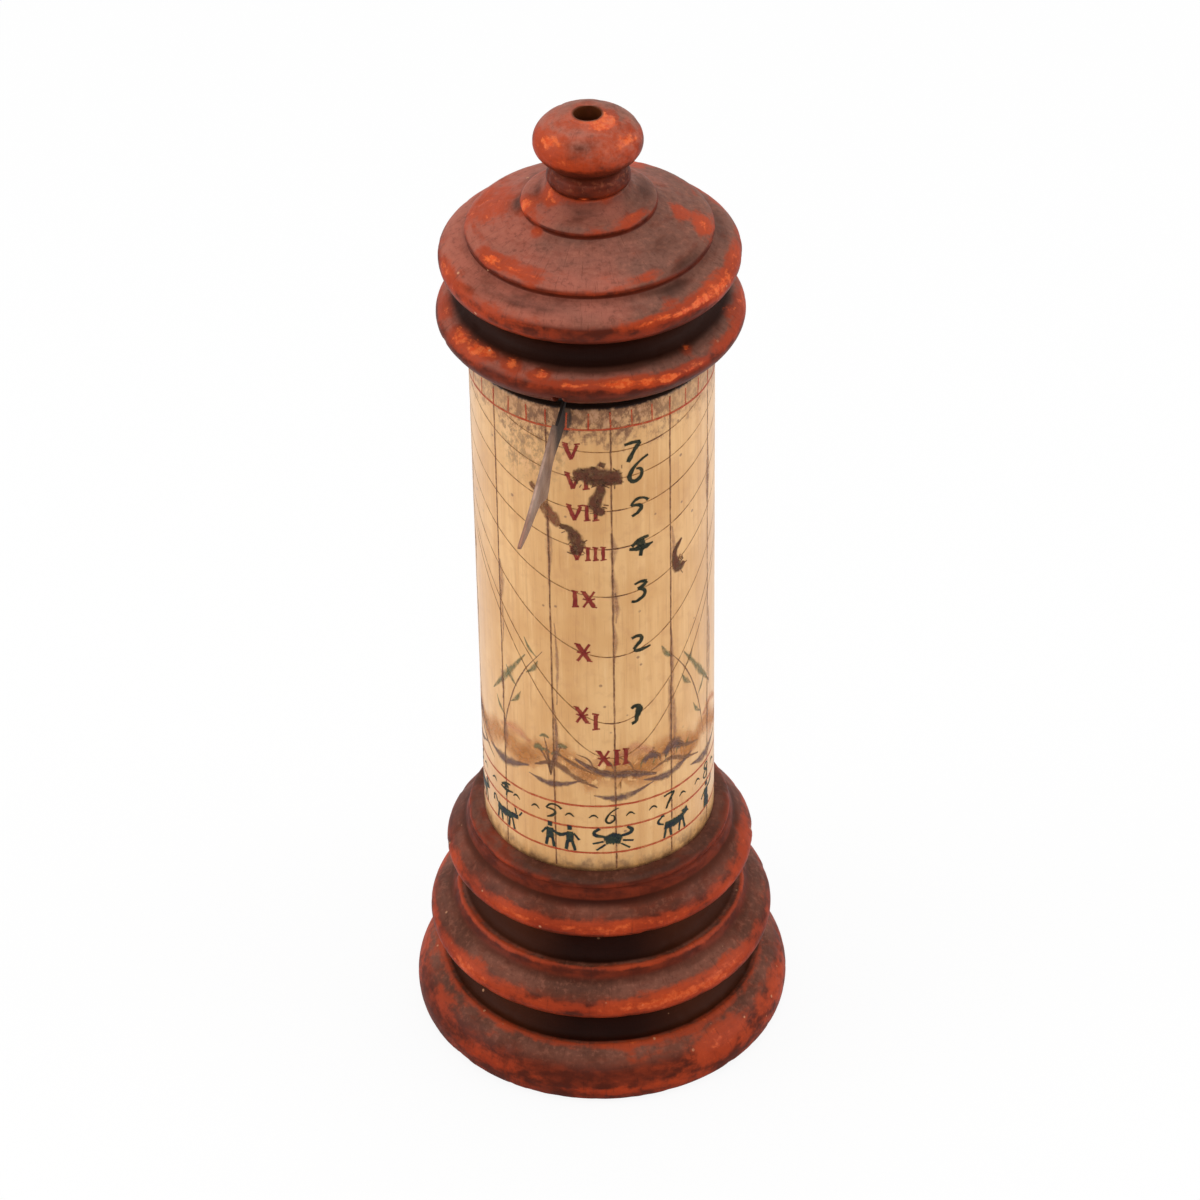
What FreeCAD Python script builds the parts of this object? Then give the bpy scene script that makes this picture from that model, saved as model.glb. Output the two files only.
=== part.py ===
import FreeCAD, Part
import math
import os

# Shepherd's dial: a pillar sundial of turned wood, about 145 mm tall.
# Origin: centre of the foot's underside. +Z is up, and the dial is read from -Y.
# Sizes are in millimetres and angles in degrees.

# Pillar
pillar_radius = 16.0
pillar_bottom = 33.8
pillar_top = 111.0
rim_bevel = 0.25
pillar_tenon_radius = 11.0
pillar_tenon_bottom = 22.0
bore_radius = 8.1
bore_bottom = 60.0

# Foot: outline of its three beads and two coves, as (radius, height)
foot_underside_radius = 25.2
foot_bottom_bead = [(25.9, 0.35), (26.35, 1.6), (26.3, 3.2), (25.3, 5.3), (24.0, 6.6), (22.9, 7.3)]
foot_bottom_lip = (22.6, 7.6)
foot_lower_cove = [(21.4, 7.6), (20.5, 8.6), (20.2, 10.2), (20.9, 12.0), (22.4, 13.1)]
foot_middle_bead = [
    (23.5, 13.5), (24.05, 14.4), (24.05, 15.3), (23.5, 16.3), (22.3, 17.3), (20.9, 18.3), (20.3, 19.3),
]
foot_middle_lip = (20.0, 19.7)
foot_upper_cove = [(18.9, 19.8), (17.9, 20.8), (17.6, 22.4), (18.2, 24.4), (19.5, 25.6)]
foot_top_bead = [
    (20.6, 25.9), (21.3, 26.7), (21.4, 27.6), (20.9, 28.6), (19.7, 29.8), (18.7, 30.9), (18.3, 31.9),
]
foot_top_lip = (18.0, 32.2)
foot_collar = [(18.2, 32.9), (17.7, 33.4), (16.8, 33.7), (pillar_radius, pillar_bottom)]

# Leather washer on the pillar's rim
washer_gap = 0.05
washer_thickness = 0.6
washer_outer_radius = 14.7
washer_inner_radius = 8.3

# Cap: outline of its two flanges, the cove between them and the stepped dome
cap_bottom = 111.75
cap_seat_radius = 14.9
cap_seat_edge = (15.1, 112.15)
cap_lower_flange = [
    (17.0, 112.8), (18.7, 113.85), (19.65, 115.0), (19.95, 115.9), (19.6, 116.9), (18.6, 117.8),
    (17.3, 118.5),
]
cap_cove = [(16.5, 119.2), (16.2, 120.3), (16.8, 121.5), (17.9, 122.3)]
cap_upper_flange = [
    (18.9, 123.0), (19.35, 124.0), (19.3, 125.0), (18.7, 125.8), (17.4, 126.6), (16.1, 127.2), (15.8, 127.5),
]
cap_dome_groove = (15.6, 127.7)
cap_dome = [(15.95, 128.2), (15.5, 128.8), (13.4, 129.7), (10.8, 130.7), (9.1, 131.4), (8.5, 131.8)]
cap_cone = [(8.75, 132.3), (8.3, 132.8), (6.9, 133.4), (5.7, 134.2), (5.0, 135.1)]
cap_top = 135.1

# Knob: turned on its own with a tenon that is glued into the cap
knob_tenon_radius = 3.4
knob_tenon_bottom = 127.0
knob_seat_radius = 4.9
knob_collar = [(5.35, 135.7), (5.3, 136.5), (4.9, 137.3)]
knob_neck = [(4.8, 137.9), (5.2, 138.5)]
knob_bulb = [
    (6.1, 139.2), (6.85, 140.2), (7.0, 141.0), (6.65, 142.3), (5.5, 143.55), (4.0, 144.4), (2.6, 144.8),
]
cord_hole_radius = 1.8
cord_hole_mouth = 144.85
cord_hole_bottom = 131.0

# Spigot: the plug under the cap, sawn through for the gnomon
spigot_radius = 8.0
spigot_bottom = 94.0
spigot_top = 120.0
spigot_slot_width = 0.9
spigot_slot_top = 117.0
cap_notch_width = 1.2
cap_notch_roof = 115.2
cap_notch_reach = 22.0

# Gnomon: a thin blade on a cross pin, pointing out over the rim
gnomon_heading = -102.9
gnomon_thickness = 0.4
pin_radius = 0.6
pin_length = 14.6
pin_play = 0.05
pin_offset = 2.5
pin_height = 114.2
tang_eye_radius = 1.15
tang_root_top = (20.5, 111.3)
blade_shoulder = (22.0, 112.55)
blade_back = [(29.2, 110.55), (35.2, 109.0), (41.15, 107.9)]
blade_tip = [(41.5, 107.6), (41.2, 107.25)]
blade_belly = [
    (39.3, 106.9), (36.4, 106.65), (33.2, 106.6), (30.7, 106.3), (28.7, 105.5), (27.0, 104.95),
    (25.9, 105.35), (25.0, 106.5), (23.7, 107.6), (21.6, 108.1), (19.0, 108.3),
]
tang_hook_bottom = (16.7, 108.8)
tang_hook_top = (16.5, 111.2)
tang_over_washer = (14.9, 111.8)


def flat_point(radius, height):
    return FreeCAD.Vector(radius, 0, height)


def outline_face(start, *runs):
    """A closed face in the XZ plane. A run of one point is straight, a longer one is a smooth curve."""
    edges = []
    here = start
    closing = [] if runs[-1][-1] == start else [[start]]
    for run in list(runs) + closing:
        points = [flat_point(*point) for point in [here] + run]
        if len(points) == 2:
            edges.append(Part.LineSegment(points[0], points[1]).toShape())
        else:
            curve = Part.BSplineCurve()
            curve.interpolate(Points=points)
            edges.append(curve.toShape())
        here = run[-1]
    return Part.Face(Part.Wire(edges))


def turned(start, *runs):
    """A piece turned about the Z axis."""
    return outline_face(start, *runs).revolve(FreeCAD.Vector(), FreeCAD.Vector(0, 0, 1), 360)


def rod(radius, bottom, top):
    return Part.makeCylinder(radius, top - bottom, FreeCAD.Vector(0, 0, bottom))


def headed(shape):
    """Turns a shape drawn along +X to the gnomon's heading."""
    shape.rotate(FreeCAD.Vector(), FreeCAD.Vector(0, 0, 1), gnomon_heading)
    return shape


def slab(face, thickness):
    """A plate of one thickness on both sides of the XZ plane."""
    plate = face.extrude(FreeCAD.Vector(0, thickness, 0))
    plate.translate(FreeCAD.Vector(0, -thickness / 2, 0))
    return plate


def cross_rod(radius, length):
    """A rod through the pivot point, square to the blade."""
    foot_of_rod = FreeCAD.Vector(pin_offset, -length / 2, pin_height)
    return headed(Part.makeCylinder(radius, length, foot_of_rod, FreeCAD.Vector(0, 1, 0)))


def foot():
    body = turned(
        (0, 0), [(foot_underside_radius, 0)], foot_bottom_bead, [foot_bottom_lip], foot_lower_cove,
        foot_middle_bead, [foot_middle_lip], foot_upper_cove, foot_top_bead, [foot_top_lip],
        foot_collar, [(0, pillar_bottom)],
    )
    return body.cut(rod(pillar_tenon_radius, pillar_tenon_bottom, pillar_top))


def pillar():
    body = turned(
        (0, pillar_tenon_bottom), [(pillar_tenon_radius, pillar_tenon_bottom)],
        [(pillar_tenon_radius, pillar_bottom)], [(pillar_radius, pillar_bottom)],
        [(pillar_radius, pillar_top - rim_bevel)], [(pillar_radius - rim_bevel, pillar_top)],
        [(0, pillar_top)],
    )
    return body.cut(rod(bore_radius, bore_bottom, cap_top))


def friction_washer():
    bottom = pillar_top + washer_gap
    top = bottom + washer_thickness
    return rod(washer_outer_radius, bottom, top).cut(rod(washer_inner_radius, bore_bottom, cap_top))


def cap():
    body = turned(
        (0, cap_bottom), [(cap_seat_radius, cap_bottom)], [cap_seat_edge], cap_lower_flange, cap_cove,
        cap_upper_flange, [cap_dome_groove], cap_dome, cap_cone, [(0, cap_top)],
    )
    notch = outline_face(
        (0, bore_bottom), [(cap_notch_reach, bore_bottom)], [(cap_notch_reach, cap_notch_roof)],
        [(0, cap_notch_roof)],
    )
    body = body.cut(headed(slab(notch, cap_notch_width)))
    body = body.cut(rod(spigot_radius, bore_bottom, spigot_top))
    return body.cut(rod(knob_tenon_radius, knob_tenon_bottom, cord_hole_mouth))


def spigot():
    slot = outline_face(
        (-pillar_radius, bore_bottom), [(pillar_radius, bore_bottom)], [(pillar_radius, spigot_slot_top)],
        [(-pillar_radius, spigot_slot_top)],
    )
    body = rod(spigot_radius, spigot_bottom, spigot_top).cut(headed(slab(slot, spigot_slot_width)))
    return body.cut(cross_rod(pin_radius, pin_length))


def finial_knob():
    body = turned(
        (0, knob_tenon_bottom), [(knob_tenon_radius, knob_tenon_bottom)], [(knob_tenon_radius, cap_top)],
        [(knob_seat_radius, cap_top)], knob_collar, knob_neck, knob_bulb + [(0, cord_hole_mouth)],
    )
    return body.cut(rod(cord_hole_radius, cord_hole_bottom, cord_hole_mouth + pillar_radius))


def gnomon_pin():
    return cross_rod(pin_radius, pin_length)


def gnomon():
    tang_slope = math.atan2(pin_height + tang_eye_radius - tang_root_top[1], tang_root_top[0] - pin_offset)
    eye_top = (
        pin_offset + tang_eye_radius * math.sin(tang_slope),
        pin_height + tang_eye_radius * math.cos(tang_slope),
    )
    eye_back = (pin_offset - tang_eye_radius, pin_height)
    eye_bottom = (pin_offset, pin_height - tang_eye_radius)
    blade = outline_face(
        eye_top, [tang_root_top], [blade_shoulder], blade_back, blade_tip, blade_belly,
        [tang_hook_bottom], [tang_hook_top], [tang_over_washer], [eye_bottom], [eye_back, eye_top],
    )
    return headed(slab(blade, gnomon_thickness)).cut(cross_rod(pin_radius + pin_play, pin_length))


sub_parts = {
    "foot": foot,
    "pillar": pillar,
    "friction_washer": friction_washer,
    "cap": cap,
    "finial_knob": finial_knob,
    "spigot": spigot,
    "gnomon_pin": gnomon_pin,
    "gnomon": gnomon,
}

os.makedirs("parts", exist_ok=True)
for name, make in sub_parts.items():
    shape = make()
    print(name, "valid", shape.isValid(), "solids", len(shape.Solids), "volume mm3", round(shape.Volume, 1))
    shape.exportStep("parts/" + name + ".step")
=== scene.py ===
import math
import random

import bmesh
import bpy
import numpy as np
from mathutils import Matrix, Vector


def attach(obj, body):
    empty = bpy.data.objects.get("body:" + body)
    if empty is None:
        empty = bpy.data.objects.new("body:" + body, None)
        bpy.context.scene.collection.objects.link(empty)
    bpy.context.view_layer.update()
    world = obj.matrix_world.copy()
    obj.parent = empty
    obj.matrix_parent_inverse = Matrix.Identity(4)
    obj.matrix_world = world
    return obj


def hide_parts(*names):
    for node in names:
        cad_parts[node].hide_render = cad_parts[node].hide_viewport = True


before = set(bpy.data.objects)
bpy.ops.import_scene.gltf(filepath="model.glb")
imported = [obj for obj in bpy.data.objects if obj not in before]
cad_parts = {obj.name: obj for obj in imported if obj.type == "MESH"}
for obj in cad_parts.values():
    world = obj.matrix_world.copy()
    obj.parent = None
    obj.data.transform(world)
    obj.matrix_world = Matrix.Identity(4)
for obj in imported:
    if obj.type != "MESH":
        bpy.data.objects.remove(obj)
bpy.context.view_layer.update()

# Looks of the shepherd's dial. The script works in metres. Names that end in _mm are millimetres.
mm = 0.001

pillar_radius_mm = 16.0
zero_ring_mm = 107.8
names_ring_mm = 45.4
figures_ring_mm = 41.6
lowest_ring_mm = 37.1
joint_mm = 33.8

june_azimuth = 8.0
month_step = 30.0
latitude = 48.5
sun_tilt = 23.44
gnomon_reach_mm = 25.3
gnomon_heading = -102.9
notch_half_width_mm = 0.6
notch_roof_mm = 115.2
notch_reach_mm = 22.0
cord_hole_radius_mm = 1.8
arc_per_degree_mm = pillar_radius_mm * math.pi / 180


# Helpers for shaders and Geometry Nodes

class Socket:
    """One output of a node. Arithmetic on it adds Math nodes to its tree."""

    def __init__(self, tree, output=None):
        self.tree = tree
        self.output = output

    def node(self, kind, inputs=(), settings=(), output=0):
        """Adds a node with its settings, then gives its sockets their values or links."""
        made = self.tree.nodes.new(kind)
        for name, value in dict(settings).items():
            if name == "stops":
                for stop, (position, colour) in zip(ramp_stops(made.color_ramp, len(value)), value):
                    stop.position = position
                    stop.color = colour
            else:
                setattr(made, name, value)
        for key, value in dict(inputs).items():
            if isinstance(value, Socket):
                self.tree.links.new(value.output, made.inputs[key])
            else:
                made.inputs[key].default_value = value
        return Socket(self.tree, made.outputs[output] if made.outputs else None)

    def maths(self, operation, *values):
        return self.node("ShaderNodeMath", enumerate(values), {"operation": operation})

    def __add__(self, other):
        return self.maths("ADD", self, other)

    def __radd__(self, other):
        return self.maths("ADD", other, self)

    def __sub__(self, other):
        return self.maths("SUBTRACT", self, other)

    def __rsub__(self, other):
        return self.maths("SUBTRACT", other, self)

    def __mul__(self, other):
        return self.maths("MULTIPLY", self, other)

    def __rmul__(self, other):
        return self.maths("MULTIPLY", other, self)

    def __truediv__(self, other):
        return self.maths("DIVIDE", self, other)

    def __rtruediv__(self, other):
        return self.maths("DIVIDE", other, self)


def ramp_stops(ramp, count):
    while len(ramp.elements) < count:
        ramp.elements.new(1.0)
    return ramp.elements


def paint(red, green, blue):
    """A colour from its 0 to 255 values on a paint chart, as the linear colour that nodes take."""
    chart = (red, green, blue)
    return tuple(((c / 255 + 0.055) / 1.055) ** 2.4 if c > 10 else c / 3294.6 for c in chart) + (1.0,)


def step_up(value, low, high):
    """0 below low, 1 above high and a soft step between them."""
    return value.node("ShaderNodeMapRange", {0: value, 1: low, 2: high}, {"interpolation_type": "SMOOTHSTEP"})


def blend(share, first, second):
    return share.node("ShaderNodeMix", {0: share, 6: first, 7: second}, {"data_type": "RGBA"}, 2)


def coat(share, under, red, green, blue):
    """Lays a share of a paint-chart colour over another colour."""
    return blend(share, under, paint(red, green, blue))


def stretched(place, x, y, z):
    return place.node("ShaderNodeVectorMath", {0: place, 1: (x, y, z)}, {"operation": "MULTIPLY"})


def shifted(place, shift):
    return place.node("ShaderNodeVectorMath", {0: place, 1: shift}, {"operation": "ADD"})


def scaled(place, scale):
    return place.node("ShaderNodeVectorMath", {0: place, 3: scale}, {"operation": "SCALE"})


def vector(sheet, x=0.0, y=0.0, z=0.0):
    return sheet.node("ShaderNodeCombineXYZ", {0: x, 1: y, 2: z})


def noise(place, size_mm, detail=3.0, roughness=0.5):
    return place.node("ShaderNodeTexNoise", {
        "Vector": place, "Scale": 1 / size_mm, "Detail": detail, "Roughness": roughness})


def attribute(sheet, name):
    return sheet.node("ShaderNodeAttribute", settings={"attribute_name": name}, output="Fac")


def place_in_mm(sheet):
    return scaled(sheet.node("ShaderNodeTexCoord", output="Object"), 1000.0)


def split(place):
    return [place.node("ShaderNodeSeparateXYZ", {0: place}, output=axis) for axis in range(3)]


def on_the_surface(place, along, squeeze):
    """Coordinates on a turned surface. A pattern on them is squeeze times longer round the axis."""
    x, y, _ = split(place)
    return vector(place, x, y, along * squeeze)


def round_the_axis(place, along, radius_mm, squeeze):
    """Coordinates round the axis and along the turned outline, so that a pattern on them has no seam."""
    x, y, _ = split(place)
    angle = place.maths("ARCTAN2", y, x)
    around = angle.maths("COSINE", angle) * radius_mm, angle.maths("SINE", angle) * radius_mm
    return vector(place, *around, along * squeeze)


def spot(arc, height, centre_arc, centre_height, half_width, half_height):
    """1 at the centre of a spot on the pillar, 0 at its edge and lower beyond it."""
    across = (arc - centre_arc) / half_width
    up = (height - centre_height) / half_height
    return 1 - across.maths("SQRT", across * across + up * up)


def new_material(name, finish, **steady):
    """finish gives the Principled sockets that change over the surface, and steady the ones that don't."""
    material = bpy.data.materials.new(name)
    material.use_nodes = True
    material.node_tree.nodes.clear()
    sheet = Socket(material.node_tree)
    steady = {key.replace("_", " "): value for key, value in steady.items()}
    surface = sheet.node("ShaderNodeBsdfPrincipled", {**steady, **finish(sheet)})
    sheet.node("ShaderNodeOutputMaterial", {"Surface": surface})
    return material


def bumps(height, depth_mm, under=None):
    inputs = {"Height": height, "Distance": depth_mm * mm, "Strength": 1.0}
    if under is not None:
        inputs["Normal"] = under
    return height.node("ShaderNodeBump", inputs)


def new_geometry_tree(name, sizes):
    """A Geometry Nodes tree with named inputs, and its group input sockets by name."""
    tree = bpy.data.node_groups.new(name, "GeometryNodeTree")
    tree.interface.new_socket("Geometry", in_out="INPUT", socket_type="NodeSocketGeometry")
    for label, kind in sizes:
        tree.interface.new_socket(label, in_out="INPUT", socket_type="NodeSocket" + kind)
    tree.interface.new_socket("Geometry", in_out="OUTPUT", socket_type="NodeSocketGeometry")
    source = tree.nodes.new("NodeGroupInput")
    return tree, {s.name: Socket(tree, s) for s in source.outputs if s.name}


def grown(name, start, tree, values):
    """The plain mesh object that a Geometry Nodes tree makes from a starting mesh or curve."""
    source = bpy.data.objects.new(name + "_start", start)
    bpy.context.scene.collection.objects.link(source)
    modifier = source.modifiers.new("make", "NODES")
    modifier.node_group = tree
    for item in tree.interface.items_tree:
        if item.item_type == "SOCKET" and item.in_out == "INPUT" and item.name in values:
            modifier[item.identifier] = values[item.name]
    mesh = bpy.data.meshes.new_from_object(source.evaluated_get(bpy.context.evaluated_depsgraph_get()))
    bpy.data.objects.remove(source)
    mesh.materials.clear()
    mesh.materials.append(values["Material"])
    mesh.polygons.foreach_set("material_index", [0] * len(mesh.polygons))
    return placed(name, mesh)


def placed(name, mesh):
    piece = bpy.data.objects.new(name, mesh)
    mesh.name = name
    bpy.context.scene.collection.objects.link(piece)
    return piece


# Camera, lamps and floor

def set_camera():
    elevation, distance = math.radians(37.56), 607.36 * mm
    target = Vector((0.558, 0.0, 68.30)) * mm
    forward = Vector((0, math.cos(elevation), -math.sin(elevation)))
    upward = Vector((0, math.sin(elevation), math.cos(elevation)))
    turn = Matrix((Vector((1, 0, 0)), upward, -forward)).transposed().to_4x4()
    data = bpy.data.cameras.new("camera")
    data.lens, data.sensor_width = 135.0, 36.0
    data.clip_start, data.clip_end = 0.01, 20.0
    camera = placed("camera", data)
    camera.matrix_world = (
        Matrix.Translation(target - forward * distance) @ turn @ Matrix.Rotation(math.radians(-0.949), 4, "Z")
    )
    bpy.context.scene.camera = camera


def panel_lamp(name, place, size, watts):
    data = bpy.data.lights.new(name, "AREA")
    data.shape, data.size, data.energy = "SQUARE", size, watts
    lamp = placed(name, data)
    aim = Vector((0, 0, 0.07)) - Vector(place)
    lamp.matrix_world = Matrix.Translation(place) @ aim.to_track_quat("-Z", "Y").to_matrix().to_4x4()


def seen_directly(sheet):
    path = sheet.node("ShaderNodeLightPath", output="Is Camera Ray")
    glossy = Socket(sheet.tree, path.output.node.outputs["Is Glossy Ray"])
    through = Socket(sheet.tree, path.output.node.outputs["Is Transmission Ray"])
    return path, path.maths("MINIMUM", path + glossy + through, 1.0)


def set_stage():
    world = bpy.data.worlds.new("studio")
    world.use_nodes = True
    world.node_tree.nodes.clear()
    sheet = Socket(world.node_tree)
    direct = seen_directly(sheet)[1]
    light = sheet.node("ShaderNodeBackground", {"Color": (1, 1, 1, 1), "Strength": 0.55 + direct * 0.45})
    sheet.node("ShaderNodeOutputWorld", {"Surface": light})
    bpy.context.scene.world = world

    material = bpy.data.materials.new("white_table")
    material.use_nodes = True
    material.node_tree.nodes.clear()
    sheet = Socket(material.node_tree)
    camera_ray = seen_directly(sheet)[0]
    diffuse = sheet.node("ShaderNodeBsdfDiffuse", {"Color": (0.9, 0.9, 0.9, 1)})
    glow = sheet.node("ShaderNodeEmission", {"Color": (1, 1, 1, 1), "Strength": 1.0})
    both = sheet.node("ShaderNodeMixShader", {0: camera_ray * 0.9, 1: diffuse, 2: glow})
    sheet.node("ShaderNodeOutputMaterial", {"Surface": both})
    mesh = bpy.data.meshes.new("floor")
    half = 3.0
    corners = [(-half, -half, 0), (half, -half, 0), (half, half, 0), (-half, half, 0)]
    mesh.from_pydata(corners, [], [(0, 1, 2, 3)])
    mesh.materials.append(material)
    placed("floor", mesh)

    panel_lamp("panel_above", (0.0, 0.1, 0.95), 0.8, 3.6)
    panel_lamp("panel_left", (-0.85, -0.15, 0.35), 0.6, 2.8)
    panel_lamp("panel_right", (0.85, -0.15, 0.35), 0.6, 2.5)
    panel_lamp("panel_front", (-0.1, -0.9, 0.6), 0.4, 0.8)


# Finishes

def stained_colours(sheet, knob):
    """Stained turned wood: a dull tone on top that is dust and a painted sheen, near-black hollows that are
    dirt and painted shade, painted shade on the undersides, and orange where hands have rubbed it. The knob is
    redder and has more wear, and the foot is grubbier than the head."""
    place = place_in_mm(sheet)
    crown, hollow, rubbed, grime, upward, along = (
        attribute(sheet, name) for name in ("crown", "hollow", "rubbed", "grime", "upward", "along"))
    belt = on_the_surface(place, along, 1.8)
    broad = noise(place, 9.0, 2.0)
    blotch = noise(belt, 3.0, 4.0, 0.6)
    chips = noise(belt, 1.5, 3.0, 0.6)
    fine = noise(place, 0.8, 4.0, 0.65)
    pores = noise(round_the_axis(place, along, 20.0, 0.12), 0.3, 3.0, 0.6)
    turning = noise(round_the_axis(place, along, 2.0, 1.0), 0.35, 3.0, 0.6)
    x, y, z = split(place)
    on_head = step_up(z, 60.0, 110.0)
    side_light = step_up(x.maths("ABSOLUTE", x) / x.maths("SQRT", x * x + y * y), 0.15, 0.7)
    wear = crown * 0.34 + rubbed + (broad - 0.5) * 0.7 + (blotch - 0.5) * 0.8 + knob * 0.1
    rubbed_thin = step_up(wear + (fine - 0.5) * 0.3, 0.14, 0.48)
    rubbed_bare = step_up(wear + (chips - 0.5) * 0.8 + (fine - 0.5) * 0.3, 0.58, 0.92)
    stain = blend(step_up(blotch, 0.35, 0.65), paint(78, 25, 9), paint(114, 40, 18))
    # Dust and a painted sheen: upward-facing surfaces take a dull mauve-grey with pale and dark flecks, and on
    # the head it is darker towards +x.
    foot_dust_and_sheen = blend(step_up(broad, 0.38, 0.62), paint(92, 54, 40), paint(124, 76, 60))
    head_dust_and_sheen = blend(step_up(broad - x * 0.02, 0.3, 0.7), paint(120, 78, 64), paint(164, 92, 74))
    dust_and_sheen = blend(on_head, foot_dust_and_sheen, head_dust_and_sheen)
    dust_and_sheen_share = step_up(upward + on_head * 0.1, 0.52, 0.88)
    colour = blend(dust_and_sheen_share * (0.95 - step_up(blotch, 0.45, 0.7) * 0.25), stain, dust_and_sheen)
    colour = coat(dust_and_sheen_share * step_up(fine, 0.50, 0.68) * 0.30, colour, 172, 106, 84)
    colour = coat(dust_and_sheen_share * step_up(1 - fine, 0.52, 0.68) * 0.35, colour, 66, 34, 24)
    thin = blend(step_up(broad, 0.35, 0.65), paint(140, 40, 10), paint(172, 58, 20))
    # Painted sheen: thinly worn places that face upwards are paler.
    thin = blend(upward * 0.6, thin, paint(172, 72, 42))
    colour = blend(rubbed_thin * (0.9 + (fine - 0.5) * 0.5), colour, thin)
    # Dirt and painted shade: darker slopes under the flanges and near the coves, with some real dark patches.
    dirt_and_shade_share = step_up(grime + (blotch - 0.5) * 0.7 + (fine - 0.5) * 0.3, 0.05, 0.75)
    colour = coat(dirt_and_shade_share * 0.85, colour, 50, 26, 16)
    # Painted shade: surfaces that face downwards are darker.
    colour = coat(step_up(0 - upward, 0.0, 0.6) * 0.5, colour, 58, 20, 10)
    worn = blend(step_up(fine, 0.40, 0.62), paint(204, 72, 22), paint(222, 102, 48))
    worn = blend(on_head, blend(step_up(fine, 0.40, 0.62), paint(180, 62, 18), paint(200, 84, 38)), worn)
    colour = blend(rubbed_bare, colour, worn)
    colour = coat(step_up(pores, 0.56, 0.74) * (0.34 - rubbed_bare * 0.2), colour, 52, 20, 10)
    colour = coat(step_up(turning, 0.5, 0.75) * 0.16, colour, 60, 22, 10)
    # Hollows hold dirt and painted shade: near-black under the beads, and paler to the sides as painted side
    # light reaching in.
    hollow_dirt_and_shade = blend(side_light * (1 - on_head * 0.75), paint(28, 7, 2), paint(62, 27, 11))
    colour = blend(step_up(hollow + (blotch - 0.5) * 0.25, 0.04, 0.56) * 0.97, colour, hollow_dirt_and_shade)
    specks = place.node("ShaderNodeTexVoronoi", {"Vector": place, "Scale": 0.34, "Randomness": 1.0})
    speckled = (1 - step_up(specks, 0.05, 0.09)) * step_up(noise(place, 11.0), 0.5, 0.58)
    colour = coat(speckled * 0.75, colour, 206, 150, 112)
    return place, colour, rubbed_bare, pores, turning, hollow


def stained_wood(sheet, knob=0.0):
    place, colour, bare, pores, turning, hollow = stained_colours(sheet, knob)
    if knob:
        x, y, height = split(place)
        out = place.maths("SQRT", x * x + y * y) - cord_hole_radius_mm
        inside = (1 - step_up(out, 0.02, 0.4)) * step_up(height, 140.0, 141.0)
        colour = coat(inside * 0.92, colour, 88, 46, 22)
        # Painted highlight: a pale pinkish haze over the top of the knob, stronger towards +x.
        knob_highlight = step_up(noise(place, 1.4, 5.0, 0.7), 0.36, 0.66) * step_up(height + x * 0.3, 140.4, 143.4)
        colour = coat(knob_highlight * (1 - inside) * 0.3, colour, 190, 122, 102)
        collar = 1 - step_up(height.maths("ABSOLUTE", height - 137.0), 0.3, 1.0)
        flecks = step_up(noise(place, 0.5, 3.0), 0.52, 0.66)
        colour = coat(collar * flecks * 0.3, colour, 166, 92, 62)
    relief = bumps(pores * -0.5 + turning * 0.35, 0.05)
    return {"Base Color": colour, "Roughness": 0.5 - bare * 0.08 + (turning - 0.5) * 0.2,
            "Coat Weight": (0.07 + bare * 0.12) * (1 - step_up(hollow, 0.0, 0.4)),
            "Normal": bumps(bare * -1.0, 0.03, relief)}


def stained_knob_wood(sheet):
    return stained_wood(sheet, 1.0)


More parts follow.
